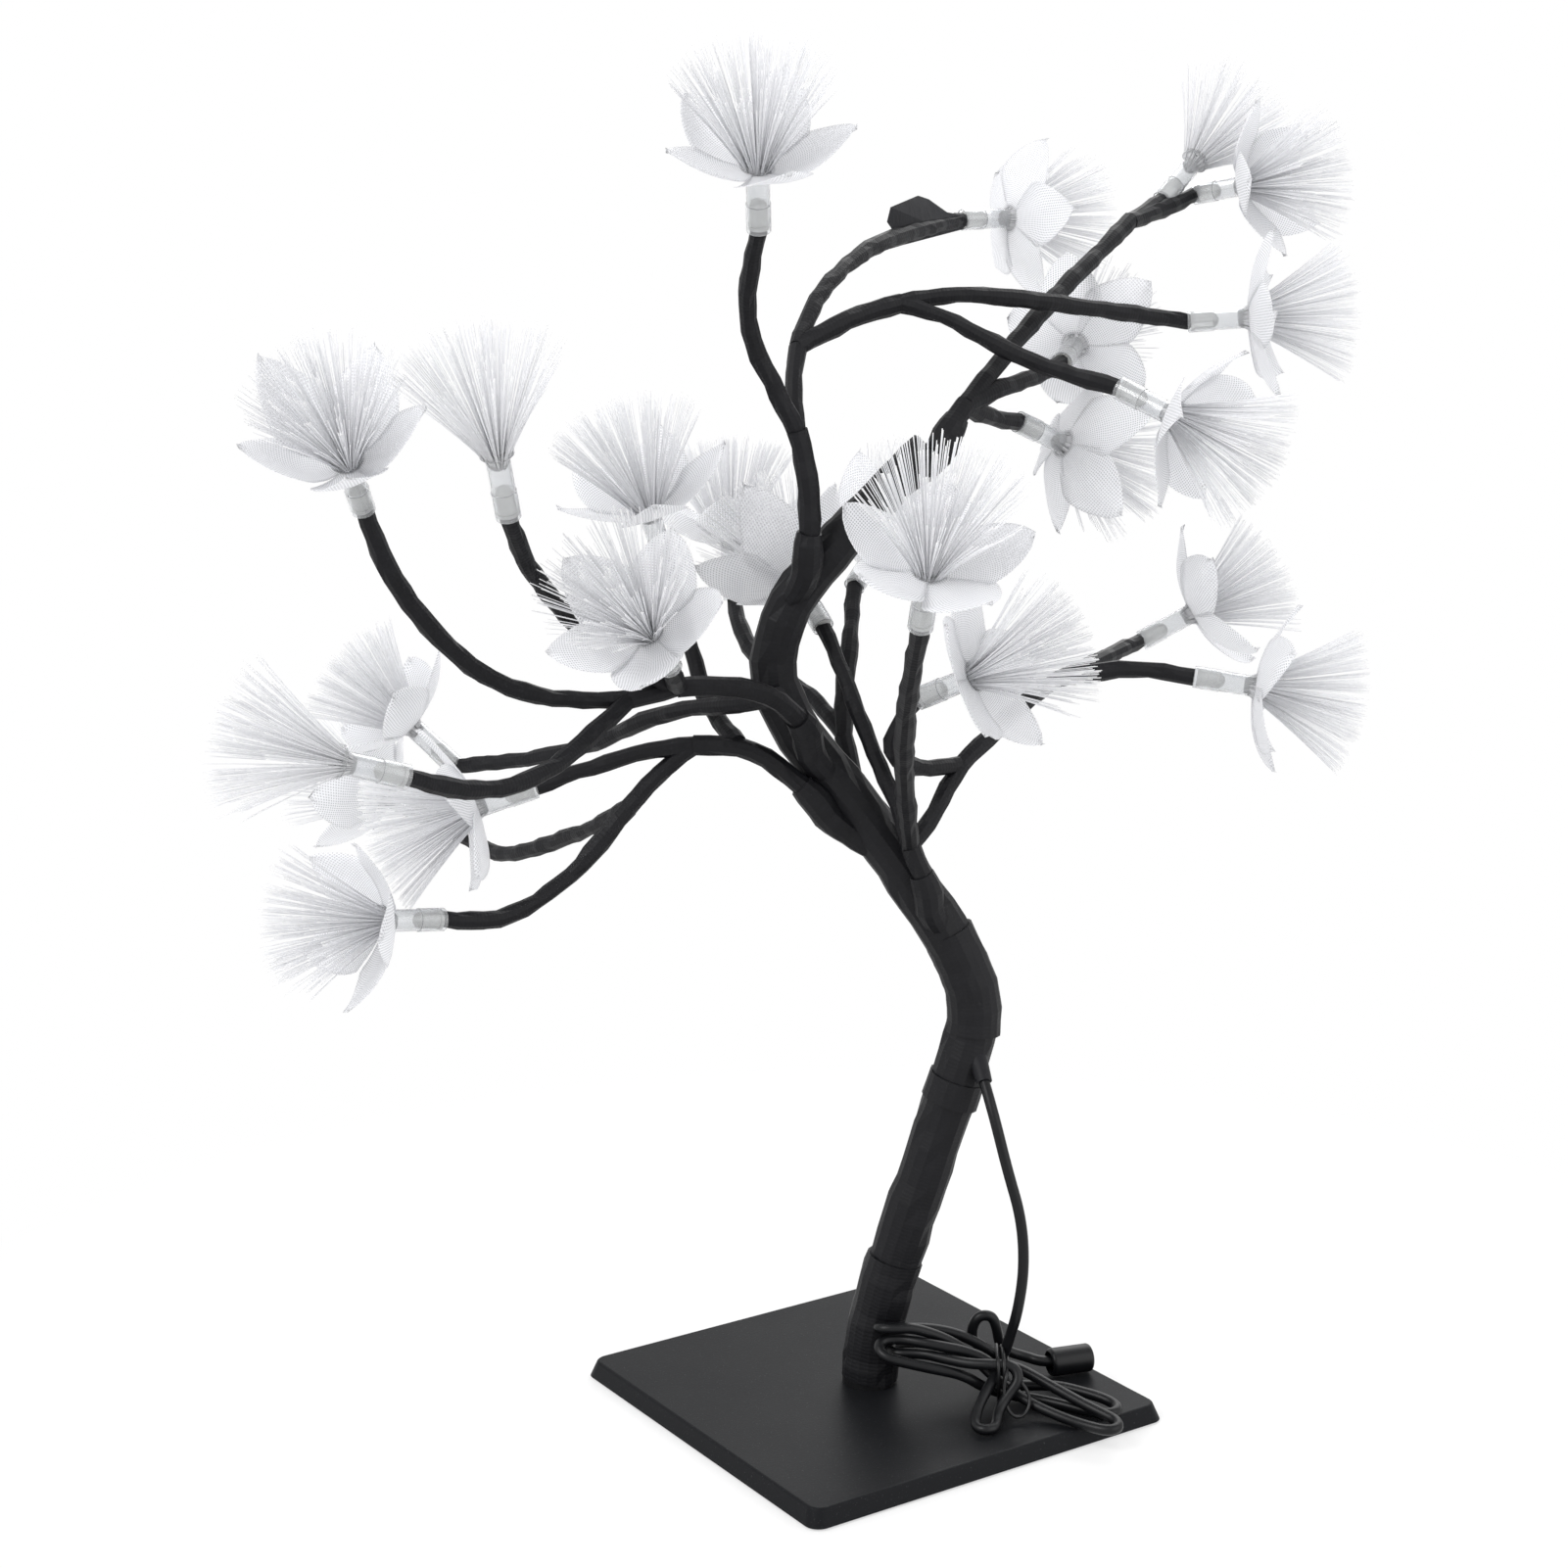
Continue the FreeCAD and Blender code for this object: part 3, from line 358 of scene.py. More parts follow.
def crepe_tape():
    """Black crepe tape: fine cross wrinkles, a lap at each turn, duller where it is stretched."""
    material, nodes, output = finish_for("crepe_tape")
    lap = nodes.add("ShaderNodeAttribute", {"attribute_name": "lap"}, out="Fac")
    along = nodes.add("ShaderNodeAttribute", {"attribute_name": "along"}, out="Fac")
    where = place(nodes)
    grain = noise(nodes, where, 900.0, 4.0, 0.6)
    patches = noise(nodes, where, 90.0, 3.0, 0.55)
    creases = noise(nodes, place(nodes, (1, 1, 0.35)), 420.0, 2.0, 0.5)
    wrinkles = (along * 5200.0 + creases * 9.0).sine()
    past_edge = 1 - lap * 14.0
    edge = past_edge.sum("MAXIMUM", past_edge, 0.0)
    colour = blend_colours(nodes, patches * 0.6 + edge * 0.35,
                           (0.003, 0.003, 0.0039, 1), (0.0112, 0.0113, 0.0142, 1))
    rough = 0.4 + patches * 0.2 + grain * 0.08
    height = grain * 0.35 + wrinkles * 0.10 + creases * 0.9
    shader = nodes.add("ShaderNodeBsdfPrincipled", {}, {
        "Base Color": colour, "Roughness": rough, "Normal": bump(nodes, height, 0.42, 0.00035),
        "Specular IOR Level": 0.21})
    show(nodes, output, shader)
    return material


def powder_coat():
    """Satin black powder coat with a faint orange peel and a little dust."""
    material, nodes, output = finish_for("powder_coat")
    where = place(nodes)
    peel = noise(nodes, where, 1500.0, 2.0, 0.5)
    haze = noise(nodes, where, 22.0, 4.0, 0.6)
    dust = noise(nodes, where, 2600.0, 1.0, 0.4).above(0.735)
    colour = blend_colours(nodes, haze * 0.5, (0.0062, 0.0066, 0.0078, 1), (0.012, 0.0126, 0.0145, 1))
    colour = blend_colours(nodes, dust * 0.35, colour, (0.11, 0.11, 0.115, 1))
    shader = nodes.add("ShaderNodeBsdfPrincipled", {}, {
        "Base Color": colour, "Roughness": 0.34 + haze * 0.16 + peel * 0.05,
        "Normal": bump(nodes, peel, 0.14, 0.0002), "Specular IOR Level": 0.08})
    show(nodes, output, shader)
    return material


def moulded_plastic(name, colour, rough, shine):
    """Soft black plastic or rubber with a fine moulded grain."""
    material, nodes, output = finish_for(name)
    where = place(nodes)
    grain = noise(nodes, where, 2200.0, 2.0, 0.5)
    wear = noise(nodes, where, 160.0, 4.0, 0.6)
    paler = tuple(c * 1.9 for c in colour)
    tint = blend_colours(nodes, wear * 0.7, (*colour, 1), (*paler, 1))
    shader = nodes.add("ShaderNodeBsdfPrincipled", {}, {
        "Base Color": tint, "Roughness": rough + wear * 0.14,
        "Normal": bump(nodes, grain, 0.12, 0.0002), "Specular IOR Level": shine})
    show(nodes, output, shader)
    return material


def metal(name, colour, rough, stretch):
    """Bare metal with drawn or turned lines and slight stains."""
    material, nodes, output = finish_for(name)
    lines = noise(nodes, place(nodes, stretch), 260.0, 4.0, 0.65)
    stains = noise(nodes, place(nodes), 70.0, 3.0, 0.5)
    darker = tuple(c * 0.72 for c in colour)
    tint = blend_colours(nodes, stains * 0.8, (*colour, 1), (*darker, 1))
    shader = nodes.add("ShaderNodeBsdfPrincipled", {}, {
        "Base Color": tint, "Metallic": 1.0, "Roughness": rough + lines * 0.22,
        "Normal": bump(nodes, lines, 0.1, 0.0002)})
    show(nodes, output, shader)
    return material


def foam():
    """Dark closed-cell foam with a pitted skin."""
    material, nodes, output = finish_for("foam")
    cells = nodes.add("ShaderNodeTexVoronoi", {}, {"Vector": place(nodes), "Scale": 1400.0}, out="Distance")
    haze = noise(nodes, place(nodes), 60.0, 3.0, 0.5)
    colour = blend_colours(nodes, haze * 0.8, (0.012, 0.012, 0.013, 1), (0.03, 0.03, 0.031, 1))
    shader = nodes.add("ShaderNodeBsdfPrincipled", {}, {
        "Base Color": colour, "Roughness": 0.86 + haze * 0.1,
        "Normal": bump(nodes, cells, 0.5, 0.0004)})
    show(nodes, output, shader)
    return material


def clear_plastic():
    """Clear moulded plastic, a little cloudy, with faint flow lines."""
    material, nodes, output = finish_for("clear_plastic")
    flow = noise(nodes, place(nodes, (1, 1, 0.4)), 500.0, 3.0, 0.5)
    colour = blend_colours(nodes, flow * 0.6, (0.93, 0.94, 0.95, 1), (0.83, 0.84, 0.86, 1))
    shader = nodes.add("ShaderNodeBsdfPrincipled", {}, {
        "Base Color": colour, "Roughness": 0.08 + flow * 0.1, "Transmission Weight": 0.86, "IOR": 1.46,
        "Normal": bump(nodes, flow, 0.12, 0.0003)})
    show(nodes, output, shader)
    return material


def lamp_resin():
    """The water-clear resin of an LED, milky towards its middle."""
    material, nodes, output = finish_for("lamp_resin")
    cloud = noise(nodes, place(nodes), 320.0, 3.0, 0.6)
    colour = blend_colours(nodes, cloud, (0.94, 0.94, 0.92, 1), (0.72, 0.72, 0.70, 1))
    shader = nodes.add("ShaderNodeBsdfPrincipled", {}, {
        "Base Color": colour, "Roughness": 0.1 + cloud * 0.12, "Transmission Weight": 0.45, "IOR": 1.5})
    show(nodes, output, shader)
    return material


def fibre_plastic():
    """Clear drawn fibre: bright along its length, whiter where it is cut."""
    material, nodes, output = finish_for("fibre_plastic")
    reach = nodes.add("ShaderNodeAttribute", {"attribute_name": "reach"}, out="Fac")
    streaks = noise(nodes, place(nodes), 260.0, 2.0, 0.5)
    cut_end = reach.above(FIBRE_CUT_END)
    colour = blend_colours(nodes, streaks * 0.7, (0.955, 0.958, 0.972, 1), (0.86, 0.865, 0.885, 1))
    colour = blend_colours(nodes, cut_end, colour, (1.0, 1.0, 1.0, 1))
    shader = nodes.add("ShaderNodeBsdfPrincipled", {}, {
        "Base Color": colour, "Roughness": 0.2 + streaks * 0.12, "Transmission Weight": 0.12, "IOR": 1.49})
    through = nodes.add("ShaderNodeBsdfTranslucent", {}, {"Color": (0.98, 0.98, 0.99, 1)})
    show(nodes, output, nodes.add("ShaderNodeMixShader", {}, {0: 0.42, 1: shader, 2: through}))
    return material


def organza():
    """Thin white woven cloth: threads both ways, open between them, with a silky sheen."""
    material, nodes, output = finish_for("organza")
    flat = nodes.add("ShaderNodeUVMap", {"uv_map": "cloth"})
    axes = nodes.add("ShaderNodeSeparateXYZ", {}, {0: flat}, out=0)
    drift = noise(nodes, flat, 90.0, 2.0, 0.5)
    thread = 2 * math.pi / CLOTH_THREAD_PITCH
    warp, weft = [((axis * 1000.0 + drift * 0.5) * thread).sine() * 0.5 + 0.5
                  for axis in (axes, axes.other("Y"))]
    cover = warp.sum("MAXIMUM", warp, weft)
    slubs = noise(nodes, nodes.add("ShaderNodeMapping", {}, {"Vector": flat, "Scale": (1, 7, 1)}),
                  170.0, 3.0, 0.6)
    clouds = noise(nodes, flat, 45.0, 3.0, 0.5)
    colour = blend_colours(nodes, cover * 0.72 + slubs * 0.28,
                           (0.62, 0.625, 0.665, 1), (0.955, 0.958, 0.972, 1))
    height = (warp + weft) * 0.5 + slubs * 0.4
    front = nodes.add("ShaderNodeBsdfPrincipled", {}, {
        "Base Color": colour, "Roughness": 0.42 + clouds * 0.16, "Sheen Weight": 0.25,
        "Normal": bump(nodes, height, 0.5, 0.00012)})
    through = nodes.add("ShaderNodeBsdfTranslucent", {}, {"Color": (0.95, 0.955, 0.97, 1)})
    cloth = nodes.add("ShaderNodeMixShader", {}, {0: 0.3, 1: front, 2: through})
    gap = nodes.add("ShaderNodeBsdfTransparent", {}, {})
    openness = 0.05 + (1 - cover) * 0.5 + clouds * 0.06
    show(nodes, output, nodes.add("ShaderNodeMixShader", {}, {0: openness, 1: cloth, 2: gap}))
    return material


def floor_finish():
    """A pale floor that fades into the white surround away from the lamp."""
    material, nodes, output = finish_for("floor")
    where = nodes.add("ShaderNodeTexCoord", out="Object")
    distance = nodes.add("ShaderNodeVectorMath", {"operation": "LENGTH"}, {0: where}, out="Value")
    shaded = nodes.add("ShaderNodeBsdfPrincipled", {}, {"Base Color": (0.9, 0.9, 0.9, 1), "Roughness": 0.8})
    far = nodes.add("ShaderNodeMapRange", {}, {"Value": distance, "From Min": 0.10, "From Max": 0.34,
                                               "To Min": 0.55, "To Max": 1.0})
    white = nodes.add("ShaderNodeEmission", {}, {"Color": (1, 1, 1, 1), "Strength": 1.0})
    show(nodes, output, nodes.add("ShaderNodeMixShader", {},
                                  {0: seen_by_camera(nodes) * far, 1: shaded, 2: white}))
    return material


# ---------------------------------------------------------------- geometry trees

def geometry_tree(name, inputs):
    """An empty geometry tree with named inputs, and its group nodes."""
    tree = bpy.data.node_groups.new(name, "GeometryNodeTree")
    tree.interface.new_socket("Geometry", in_out="INPUT", socket_type="NodeSocketGeometry")
    for label, kind in inputs:
        tree.interface.new_socket(label, in_out="INPUT", socket_type=kind)
    tree.interface.new_socket("Geometry", in_out="OUTPUT", socket_type="NodeSocketGeometry")
    nodes = Nodes(tree)
    group = nodes.add("NodeGroupInput")
    return tree, nodes, group


def close_tree(nodes, geometry):
    """Makes a geometry the result of its tree."""
    output = nodes.tree.nodes.new("NodeGroupOutput")
    nodes.tree.links.new(geometry.socket, output.inputs[0])


def wound_tape_tree():
    """Tape wound in a spiral round every spline, each turn lapping the last."""
    tree, nodes, group = geometry_tree("wound_tape", [
        ("Pitch", "NodeSocketFloat"), ("Lap height", "NodeSocketFloat"), ("Crumple", "NodeSocketFloat"),
        ("Step", "NodeSocketFloat"), ("Sides", "NodeSocketInt"), ("Tape", "NodeSocketMaterial")])
    curve = nodes.add("GeometryNodeResampleCurve", {"mode": "LENGTH"},
                      {"Curve": group, "Length": group.other("Step")})
    length = nodes.add("GeometryNodeSplineParameter", out="Length")
    curve = nodes.add("GeometryNodeStoreNamedAttribute", {"data_type": "FLOAT", "domain": "POINT"},
                      {"Geometry": curve, "Name": "along", "Value": length})
    ring = nodes.add("GeometryNodeCurvePrimitiveCircle", {"mode": "RADIUS"},
                     {"Resolution": group.other("Sides"), "Radius": 1.0})
    share = nodes.add("GeometryNodeSplineParameter", out="Factor")
    ring = nodes.add("GeometryNodeStoreNamedAttribute", {"data_type": "FLOAT", "domain": "POINT"},
                     {"Geometry": ring, "Name": "around", "Value": share})
    tube = nodes.add("GeometryNodeCurveToMesh", {}, {
        "Curve": curve, "Profile Curve": ring, "Fill Caps": True,
        "Scale": nodes.add("GeometryNodeInputRadius")})
    along = nodes.add("GeometryNodeInputNamedAttribute", {"data_type": "FLOAT"}, {"Name": "along"})
    around = nodes.add("GeometryNodeInputNamedAttribute", {"data_type": "FLOAT"}, {"Name": "around"})
    where = nodes.add("GeometryNodeInputPosition")
    sway = noise(nodes, where, 40.0, 2.0, 0.5)
    lap = (along / group.other("Pitch") + around + sway * LAP_SWAY).fraction()
    crumple = noise(nodes, where, 210.0, 3.0, 0.55) - 0.5
    lump = noise(nodes, where, 52.0, 1.0, 0.5) - 0.5
    creases = (crumple * FINE_CREASES + lump * BROAD_CREASES) * group.other("Crumple")
    rise = (lap - 0.5) * group.other("Lap height") + creases
    normal = nodes.add("GeometryNodeInputNormal")
    push = nodes.add("ShaderNodeVectorMath", {"operation": "SCALE"}, {0: normal, "Scale": rise})
    moved = nodes.add("GeometryNodeSetPosition", {}, {"Geometry": tube, "Offset": push})
    kept = nodes.add("GeometryNodeStoreNamedAttribute", {"data_type": "FLOAT", "domain": "POINT"},
                     {"Geometry": moved, "Name": "lap", "Value": lap})
    flat = nodes.add("GeometryNodeSetShadeSmooth", {}, {"Geometry": kept, "Shade Smooth": False})
    close_tree(nodes, nodes.add("GeometryNodeSetMaterial", {}, {
        "Geometry": nodes.add("GeometryNodeRealizeInstances", {}, {"Geometry": flat}),
        "Material": group.other("Tape")}))
    return tree


def fibre_tuft_tree():
    """A tuft of fibres that leave the ferrule side by side and splay apart."""
    tree, nodes, group = geometry_tree("fibre_tuft", [
        ("Count", "NodeSocketInt"), ("Length", "NodeSocketFloat"), ("Splay", "NodeSocketFloat"),
        ("Bundle radius", "NodeSocketFloat"), ("Thickness", "NodeSocketFloat"), ("Seed", "NodeSocketInt"),
        ("Fibre", "NodeSocketMaterial")])
    points = nodes.add("GeometryNodePoints", {}, {"Count": group.other("Count")})
    index = nodes.add("GeometryNodeInputIndex")
    seed = group.other("Seed")

    def chance(low, high, offset):
        """A random number for each fibre."""
        return nodes.add("FunctionNodeRandomValue", {"data_type": "FLOAT"},
                         {2: low, 3: high, "ID": index, "Seed": seed + offset}, out=1)

    bundle = index.sum("FLOOR", index / FIBRES_IN_BUNDLE)
    stray = nodes.add("FunctionNodeRandomValue", {"data_type": "FLOAT"},
                      {2: -BUNDLE_STRAY, 3: BUNDLE_STRAY, "ID": bundle, "Seed": seed + 40}, out=1)
    share = ((index + 0.5) / group.other("Count")) ** 0.5
    turn = bundle * BUNDLE_TURN + stray + chance(-FIBRE_STRAY, FIBRE_STRAY, 3)
    stretch = chance(FIBRE_SHORTEST, 1.0, 5)
    for name, value in (("share", share), ("turn", turn), ("stretch", stretch)):
        points = nodes.add("GeometryNodeStoreNamedAttribute", {"data_type": "FLOAT", "domain": "POINT"},
                           {"Geometry": points, "Name": name, "Value": value})
    line = nodes.add("GeometryNodeCurvePrimitiveLine", {}, {"End": (0, 0, 1)})
    line = nodes.add("GeometryNodeResampleCurve", {"mode": "COUNT"}, {"Curve": line, "Count": 6})
    strands = nodes.add("GeometryNodeInstanceOnPoints", {}, {"Points": points, "Instance": line})
    strands = nodes.add("GeometryNodeRealizeInstances", {}, {"Geometry": strands})

    def named(name):
        """What each point of a fibre has kept under that name."""
        return nodes.add("GeometryNodeInputNamedAttribute", {"data_type": "FLOAT"}, {"Name": name})

    along = nodes.add("GeometryNodeSplineParameter", out="Factor")
    strands = nodes.add("GeometryNodeStoreNamedAttribute", {"data_type": "FLOAT", "domain": "POINT"},
                        {"Geometry": strands, "Name": "reach", "Value": along})
    lean = named("share") * group.other("Splay")
    length = group.other("Length") * named("stretch")
    out = named("share") * group.other("Bundle radius") + length * lean.sine() * (along ** 1.12)
    up = length * (along * (1.0 - lean * lean * 0.5) + lean * lean * 0.10 * (1 - along) * along)
    turn = named("turn")
    place_at = nodes.add("ShaderNodeCombineXYZ", {}, {
        0: out * turn.sum("COSINE", turn), 1: out * turn.sine(), 2: up + FIBRE_ROOT * MM})
    strands = nodes.add("GeometryNodeSetPosition", {}, {"Geometry": strands, "Position": place_at})
    profile = nodes.add("GeometryNodeCurvePrimitiveCircle", {"mode": "RADIUS"},
                        {"Resolution": 4, "Radius": group.other("Thickness")})
    tubes = nodes.add("GeometryNodeCurveToMesh", {}, {"Curve": strands, "Profile Curve": profile,
                                                      "Fill Caps": True})
    close_tree(nodes, nodes.add("GeometryNodeSetMaterial", {}, {
        "Geometry": tubes, "Material": group.other("Fibre")}))
    return tree


def grown(tree, source, settings):
    """The plain mesh that a geometry tree makes from an object."""
    modifier = source.modifiers.new("grow", "NODES")
    modifier.node_group = tree
    for item in tree.interface.items_tree:
        if item.item_type == "SOCKET" and item.in_out == "INPUT" and item.name in settings:
            modifier[item.identifier] = settings[item.name]
    bpy.context.view_layer.update()
    evaluated = source.evaluated_get(bpy.context.evaluated_depsgraph_get())
    mesh = bpy.data.meshes.new_from_object(evaluated)
    bpy.data.objects.remove(source)
    return mesh


def link(name, data):
    """A new object in the scene."""
    thing = bpy.data.objects.new(name, data)
    bpy.context.scene.collection.objects.link(thing)
    return thing


def smooth_curve(name, radii, places, resolution=16):
    """A curve object with one smooth spline, whose points have these radii."""
    curve = bpy.data.curves.new(name, "CURVE")
    curve.dimensions = "3D"
    curve.resolution_u = resolution
    curve.twist_mode = "MINIMUM"
    spline = curve.splines.new("NURBS")
    spline.points.add(len(places) - 1)
    for point, radius, at in zip(spline.points, radii, places):
        point.co = (*at, 1)
        point.radius = radius
    spline.order_u = min(3, len(places))
    spline.use_endpoint_u = True
    return link(name, curve)


def round_wire(name, route, radius, resolution, material):
    """A smooth round wire or cord along a route in the tree's millimetres."""
    wire = smooth_curve(name, [1.0] * len(route), [spot(*at) for at in route], resolution[0])
    wire.data.bevel_depth = radius * MM
    wire.data.bevel_resolution = resolution[1]
    wire.data.use_fill_caps = True
    wire.data.materials.append(material)
    return wire


def wound_tape(radii, places, winding, pitch=None):
    """Tape wound round a run, with its radii in millimetres and its places in metres."""
    settings = {**winding, "Tape": TAPE}
    if pitch:
        settings["Pitch"] = pitch
    return grown(WINDING, smooth_curve("tape_run", [radius * MM for radius in radii], places), settings)


def join_meshes(name, meshes, stands=None):
    """One mesh from several, each placed by its matrix, with their attributes kept."""
    parts = []
    for index, mesh in enumerate(meshes):
        copy = mesh.copy()
        if stands:
            copy.transform(stands[index])
        parts.append(link("part", copy))
    with bpy.context.temp_override(active_object=parts[0], selected_editable_objects=parts):
        bpy.ops.object.join()
    parts[0].name = name
    parts[0].data.name = name
    return parts[0]


# ---------------------------------------------------------------- pieces

TAPE = crepe_tape()
STEEL = powder_coat()
RUBBER = moulded_plastic("black_rubber", (0.003, 0.0032, 0.0039), 0.3, 0.24)
PLASTIC = moulded_plastic("black_plastic", (0.005, 0.0051, 0.0056), 0.26, 0.34)
CLEAR = clear_plastic()
RESIN = lamp_resin()
FIBRE = fibre_plastic()
CLOTH = organza()
DRAWN_STEEL = metal("drawn_steel", (0.46, 0.455, 0.45), 0.26, (1, 1, 0.05))
PLATED = metal("zinc_plate", (0.62, 0.61, 0.57), 0.2, (1, 1, 1))
NICKEL = metal("nickel_plate", (0.72, 0.70, 0.66), 0.12, (1, 0.1, 1))
FOAM = foam()
WINDING = wound_tape_tree()
TUFT = fibre_tuft_tree()


def smooth(thing):
    """Shades every face of a mesh smooth."""
    for face in thing.data.polygons:
        face.use_smooth = True


def make_tie():
    """The wire tie: two turns round the strands of the lead and its ends, twisted into a loop."""
    count = len(TIE_ROUND)
    turns = [(TIE_START + TIE_ADVANCE * index / count, *TIE_ROUND[index % count])
             for index in range(TIE_TURNS * count)]
    tie = round_wire("lead_wire_tie", turns + TIE_ENDS, TIE_RADIUS, TIE_RESOLUTION, PLASTIC)
    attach(tie, "stand")
    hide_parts("twist_tie")
    return tie


def make_cord():
    """The whole lead as one smooth cord."""
    cord = round_wire("cord", CORD_ROUTE, CORD_DIAMETER / 2, CORD_RESOLUTION, RUBBER)
    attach(cord, "stand")
    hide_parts("cord_drop", "cord_hank", "cord_tail")
    spot(*CORD_ROUTE[0])
    make_tie()


def trunk_middle(up):
    """The trunk's middle at a height: across and back, in millimetres."""
    for (*start, low), (*end, high) in zip(TRUNK_ROUTE, TRUNK_ROUTE[1:]):
        if low <= up <= high:
            share = (up - low) / (high - low)
            return [at + (to - at) * share for at, to in zip(start, end)]
    return TRUNK_ROUTE[-1][:2]


def knot_places(route):
    """The run of the taped swelling where a limb goes down into the trunk."""
    across, back, up = route[0]
    pivot, ahead = spot(*route[0]), spot(*route[1])
    along = (ahead - pivot).normalized()
    deep = spot(*trunk_middle(up - KNOT_DEEP), up - KNOT_DEEP)
    beside = KNOT_NEAR_SHARE * across + (1 - KNOT_NEAR_SHARE) * trunk_middle(up - KNOT_NEAR)[0]
    near = spot(beside, KNOT_NEAR_SHARE * back, up - KNOT_NEAR)
    return [deep, near] + [pivot + along * offset * MM for offset in KNOT_OFFSETS]


def make_trunk_tape():
    """The tape on the trunk, the turns over it, and a lump of it round the root of each limb."""
    meshes = [wound_tape(TRUNK_RADIUS, [spot(*at) for at in TRUNK_ROUTE], TRUNK_WINDING)]
    for low, high, low_radius, high_radius, pitch in TRUNK_BANDS:
        shares = [index / (BAND_PLACES - 1) for index in range(BAND_PLACES)]
        heights = [low + (high - low) * share for share in shares]
        radii = [low_radius + (high_radius - low_radius) * share for share in shares]
        places = [spot(*trunk_middle(up), up) for up in heights]
        meshes.append(wound_tape(radii, places, BAND_WINDING, pitch * MM))
    for stems, _ in LIMBS.values():
        meshes.append(wound_tape(KNOT_RADII, knot_places(stems[0][1]), KNOT_WINDING))
    tape = join_meshes("trunk_tape_wrap", meshes)
    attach(tape, "stand")
    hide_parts("trunk_tape")


def tape_flag():
    """A flap of loose tape that stands up from the end of one twig."""
    verts, faces, count = [], [], len(FLAG_RIM)
    for depth in (0, FLAG_THICKNESS):
        verts += [spot(across + depth * 0.3, back + depth, up) for across, back, up in FLAG_RIM]
    across, back, up = FLAG_MIDDLE
    verts += [spot(across, back + bulge, up) for bulge in FLAG_BULGES]
    for at in range(count):
        following = (at + 1) % count
        faces.append((at, following, 2 * count))
        faces.append((count + following, count + at, 2 * count + 1))
        faces.append((following, at, count + at, count + following))
    mesh = bpy.data.meshes.new("tape_flag")
    mesh.from_pydata(verts, [], faces)
    mesh.materials.append(TAPE)
    return mesh


def make_limb_tape(name, stems, lamps):
    """The tape on one limb's stems and twigs."""
    runs = [([radius] * len(route), route) for radius, route in stems]
    for index, (route, _, _) in enumerate(lamps):
        rng = random.Random("twig " + name + str(index))
        swells = [TWIG_RADIUS * rng.uniform(0.94, 1.24) for _ in route[1:-1]]
        runs.append(([TWIG_ROOT_RADIUS, *swells, TWIG_TIP_RADIUS], route))
    meshes = [tape_flag()] if name == "a" else []
    for index, (radii, route) in enumerate(runs):
        pitch = LIMB_PITCH + LIMB_PITCH_STEP * (index % 3)
        meshes.append(wound_tape(radii, [spot(*at) for at in route], LIMB_WINDING, pitch))
    tape = join_meshes("limb_" + name + "_tape_wrap", meshes)
    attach(tape, "limb_" + name)
    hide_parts("limb_" + name + "_tape")


def grow_tufts():
    """A few different tufts, which the lamps take in turn."""
    tufts = []
    for seed in TUFT_SEEDS:
        holder = link("tuft", bpy.data.meshes.new("tuft"))
        tufts.append(grown(TUFT, holder, {**TUFT_SETTINGS, "Seed": seed, "Fibre": FIBRE}))
    return tufts


def make_fibres(name, lamps, tufts):
    """The fibre tufts of one limb."""
    meshes = [tufts[index % len(tufts)] for index in range(len(lamps))]
    stands = [lamp_stand(route[-1], direction) for route, direction, _ in lamps]
    fibres = join_meshes("limb_" + name + "_fibre_tufts", meshes, stands)
    smooth(fibres)
    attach(fibres, "limb_" + name)
    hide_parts("limb_" + name + "_fibres")


def leaf_half_width(u):
    """Half the width of a petal, in millimetres, from its root at 0 to its tip at 1."""
    belly = PETAL_HALF_WIDTH * math.sin(math.pi * u ** 0.92) ** 0.72
    return max(belly, PETAL_ROOT_HALF_WIDTH * (1 - u))


def corolla_mesh(rng, rise):
    """Five pointed cloth petals round the ferrule, each lapping the next, along Z in metres."""
    verts, faces, cloth_at = [], [], []
    width = PETAL_COLUMNS + 1
    for petal in range(PETALS):
        middle = 2 * math.pi * petal / PETALS + rng.uniform(-0.09, 0.09)
        tip_rise = rise * rng.uniform(0.8, 1.2)
        reach = rng.uniform(0.95, 1.04)
        twist = rng.uniform(-0.05, 0.2)
        curl = rng.uniform(-0.12, 0.16)
        wave, fold = rng.uniform(0, 6.28), rng.uniform(0.3, 1.0)
        start = len(verts)
        for row in range(PETAL_ROWS + 1):
            u = row / PETAL_ROWS
            radius = PETAL_ROOT_RADIUS + PETAL_LENGTH * u * reach
            height = tip_rise * (0.2 * u + 0.8 * u * u)
            half = leaf_half_width(u)
            for column in range(width):
                t = -1 + 2 * column / PETAL_COLUMNS
                swing = min(half / radius, 0.72) * t
                lift = twist * half * t * u + curl * half * t * t * u
                lift += 0.8 * math.sin(wave + 2.6 * t + 5.0 * u) * u
                lift -= fold * 1.3 * u * (1 - u) * math.exp(-(t / 0.3) ** 2)
                lift += PETAL_LAP * petal * (1 - u)
                around = middle + swing
                flare = radius + 0.25 * half * (1 - math.cos(swing))
                verts.append((flare * math.cos(around) * MM, flare * math.sin(around) * MM,
                              (PETAL_BASE + height + lift) * MM))
                cloth_at.append((u * CLOTH_LENGTH * MM + petal * CLOTH_STRIDE, t * half * MM))
        for row in range(PETAL_ROWS):
            for column in range(PETAL_COLUMNS):
                a = start + row * width + column
                faces.append((a, a + 1, a + width + 1, a + width))
    mesh = bpy.data.meshes.new("corolla")
    mesh.from_pydata(verts, [], faces)
    layer = mesh.uv_layers.new(name="cloth")
    for loop in mesh.loops:
        layer.data[loop.index].uv = cloth_at[loop.vertex_index]
    mesh.materials.append(CLOTH)
    return mesh


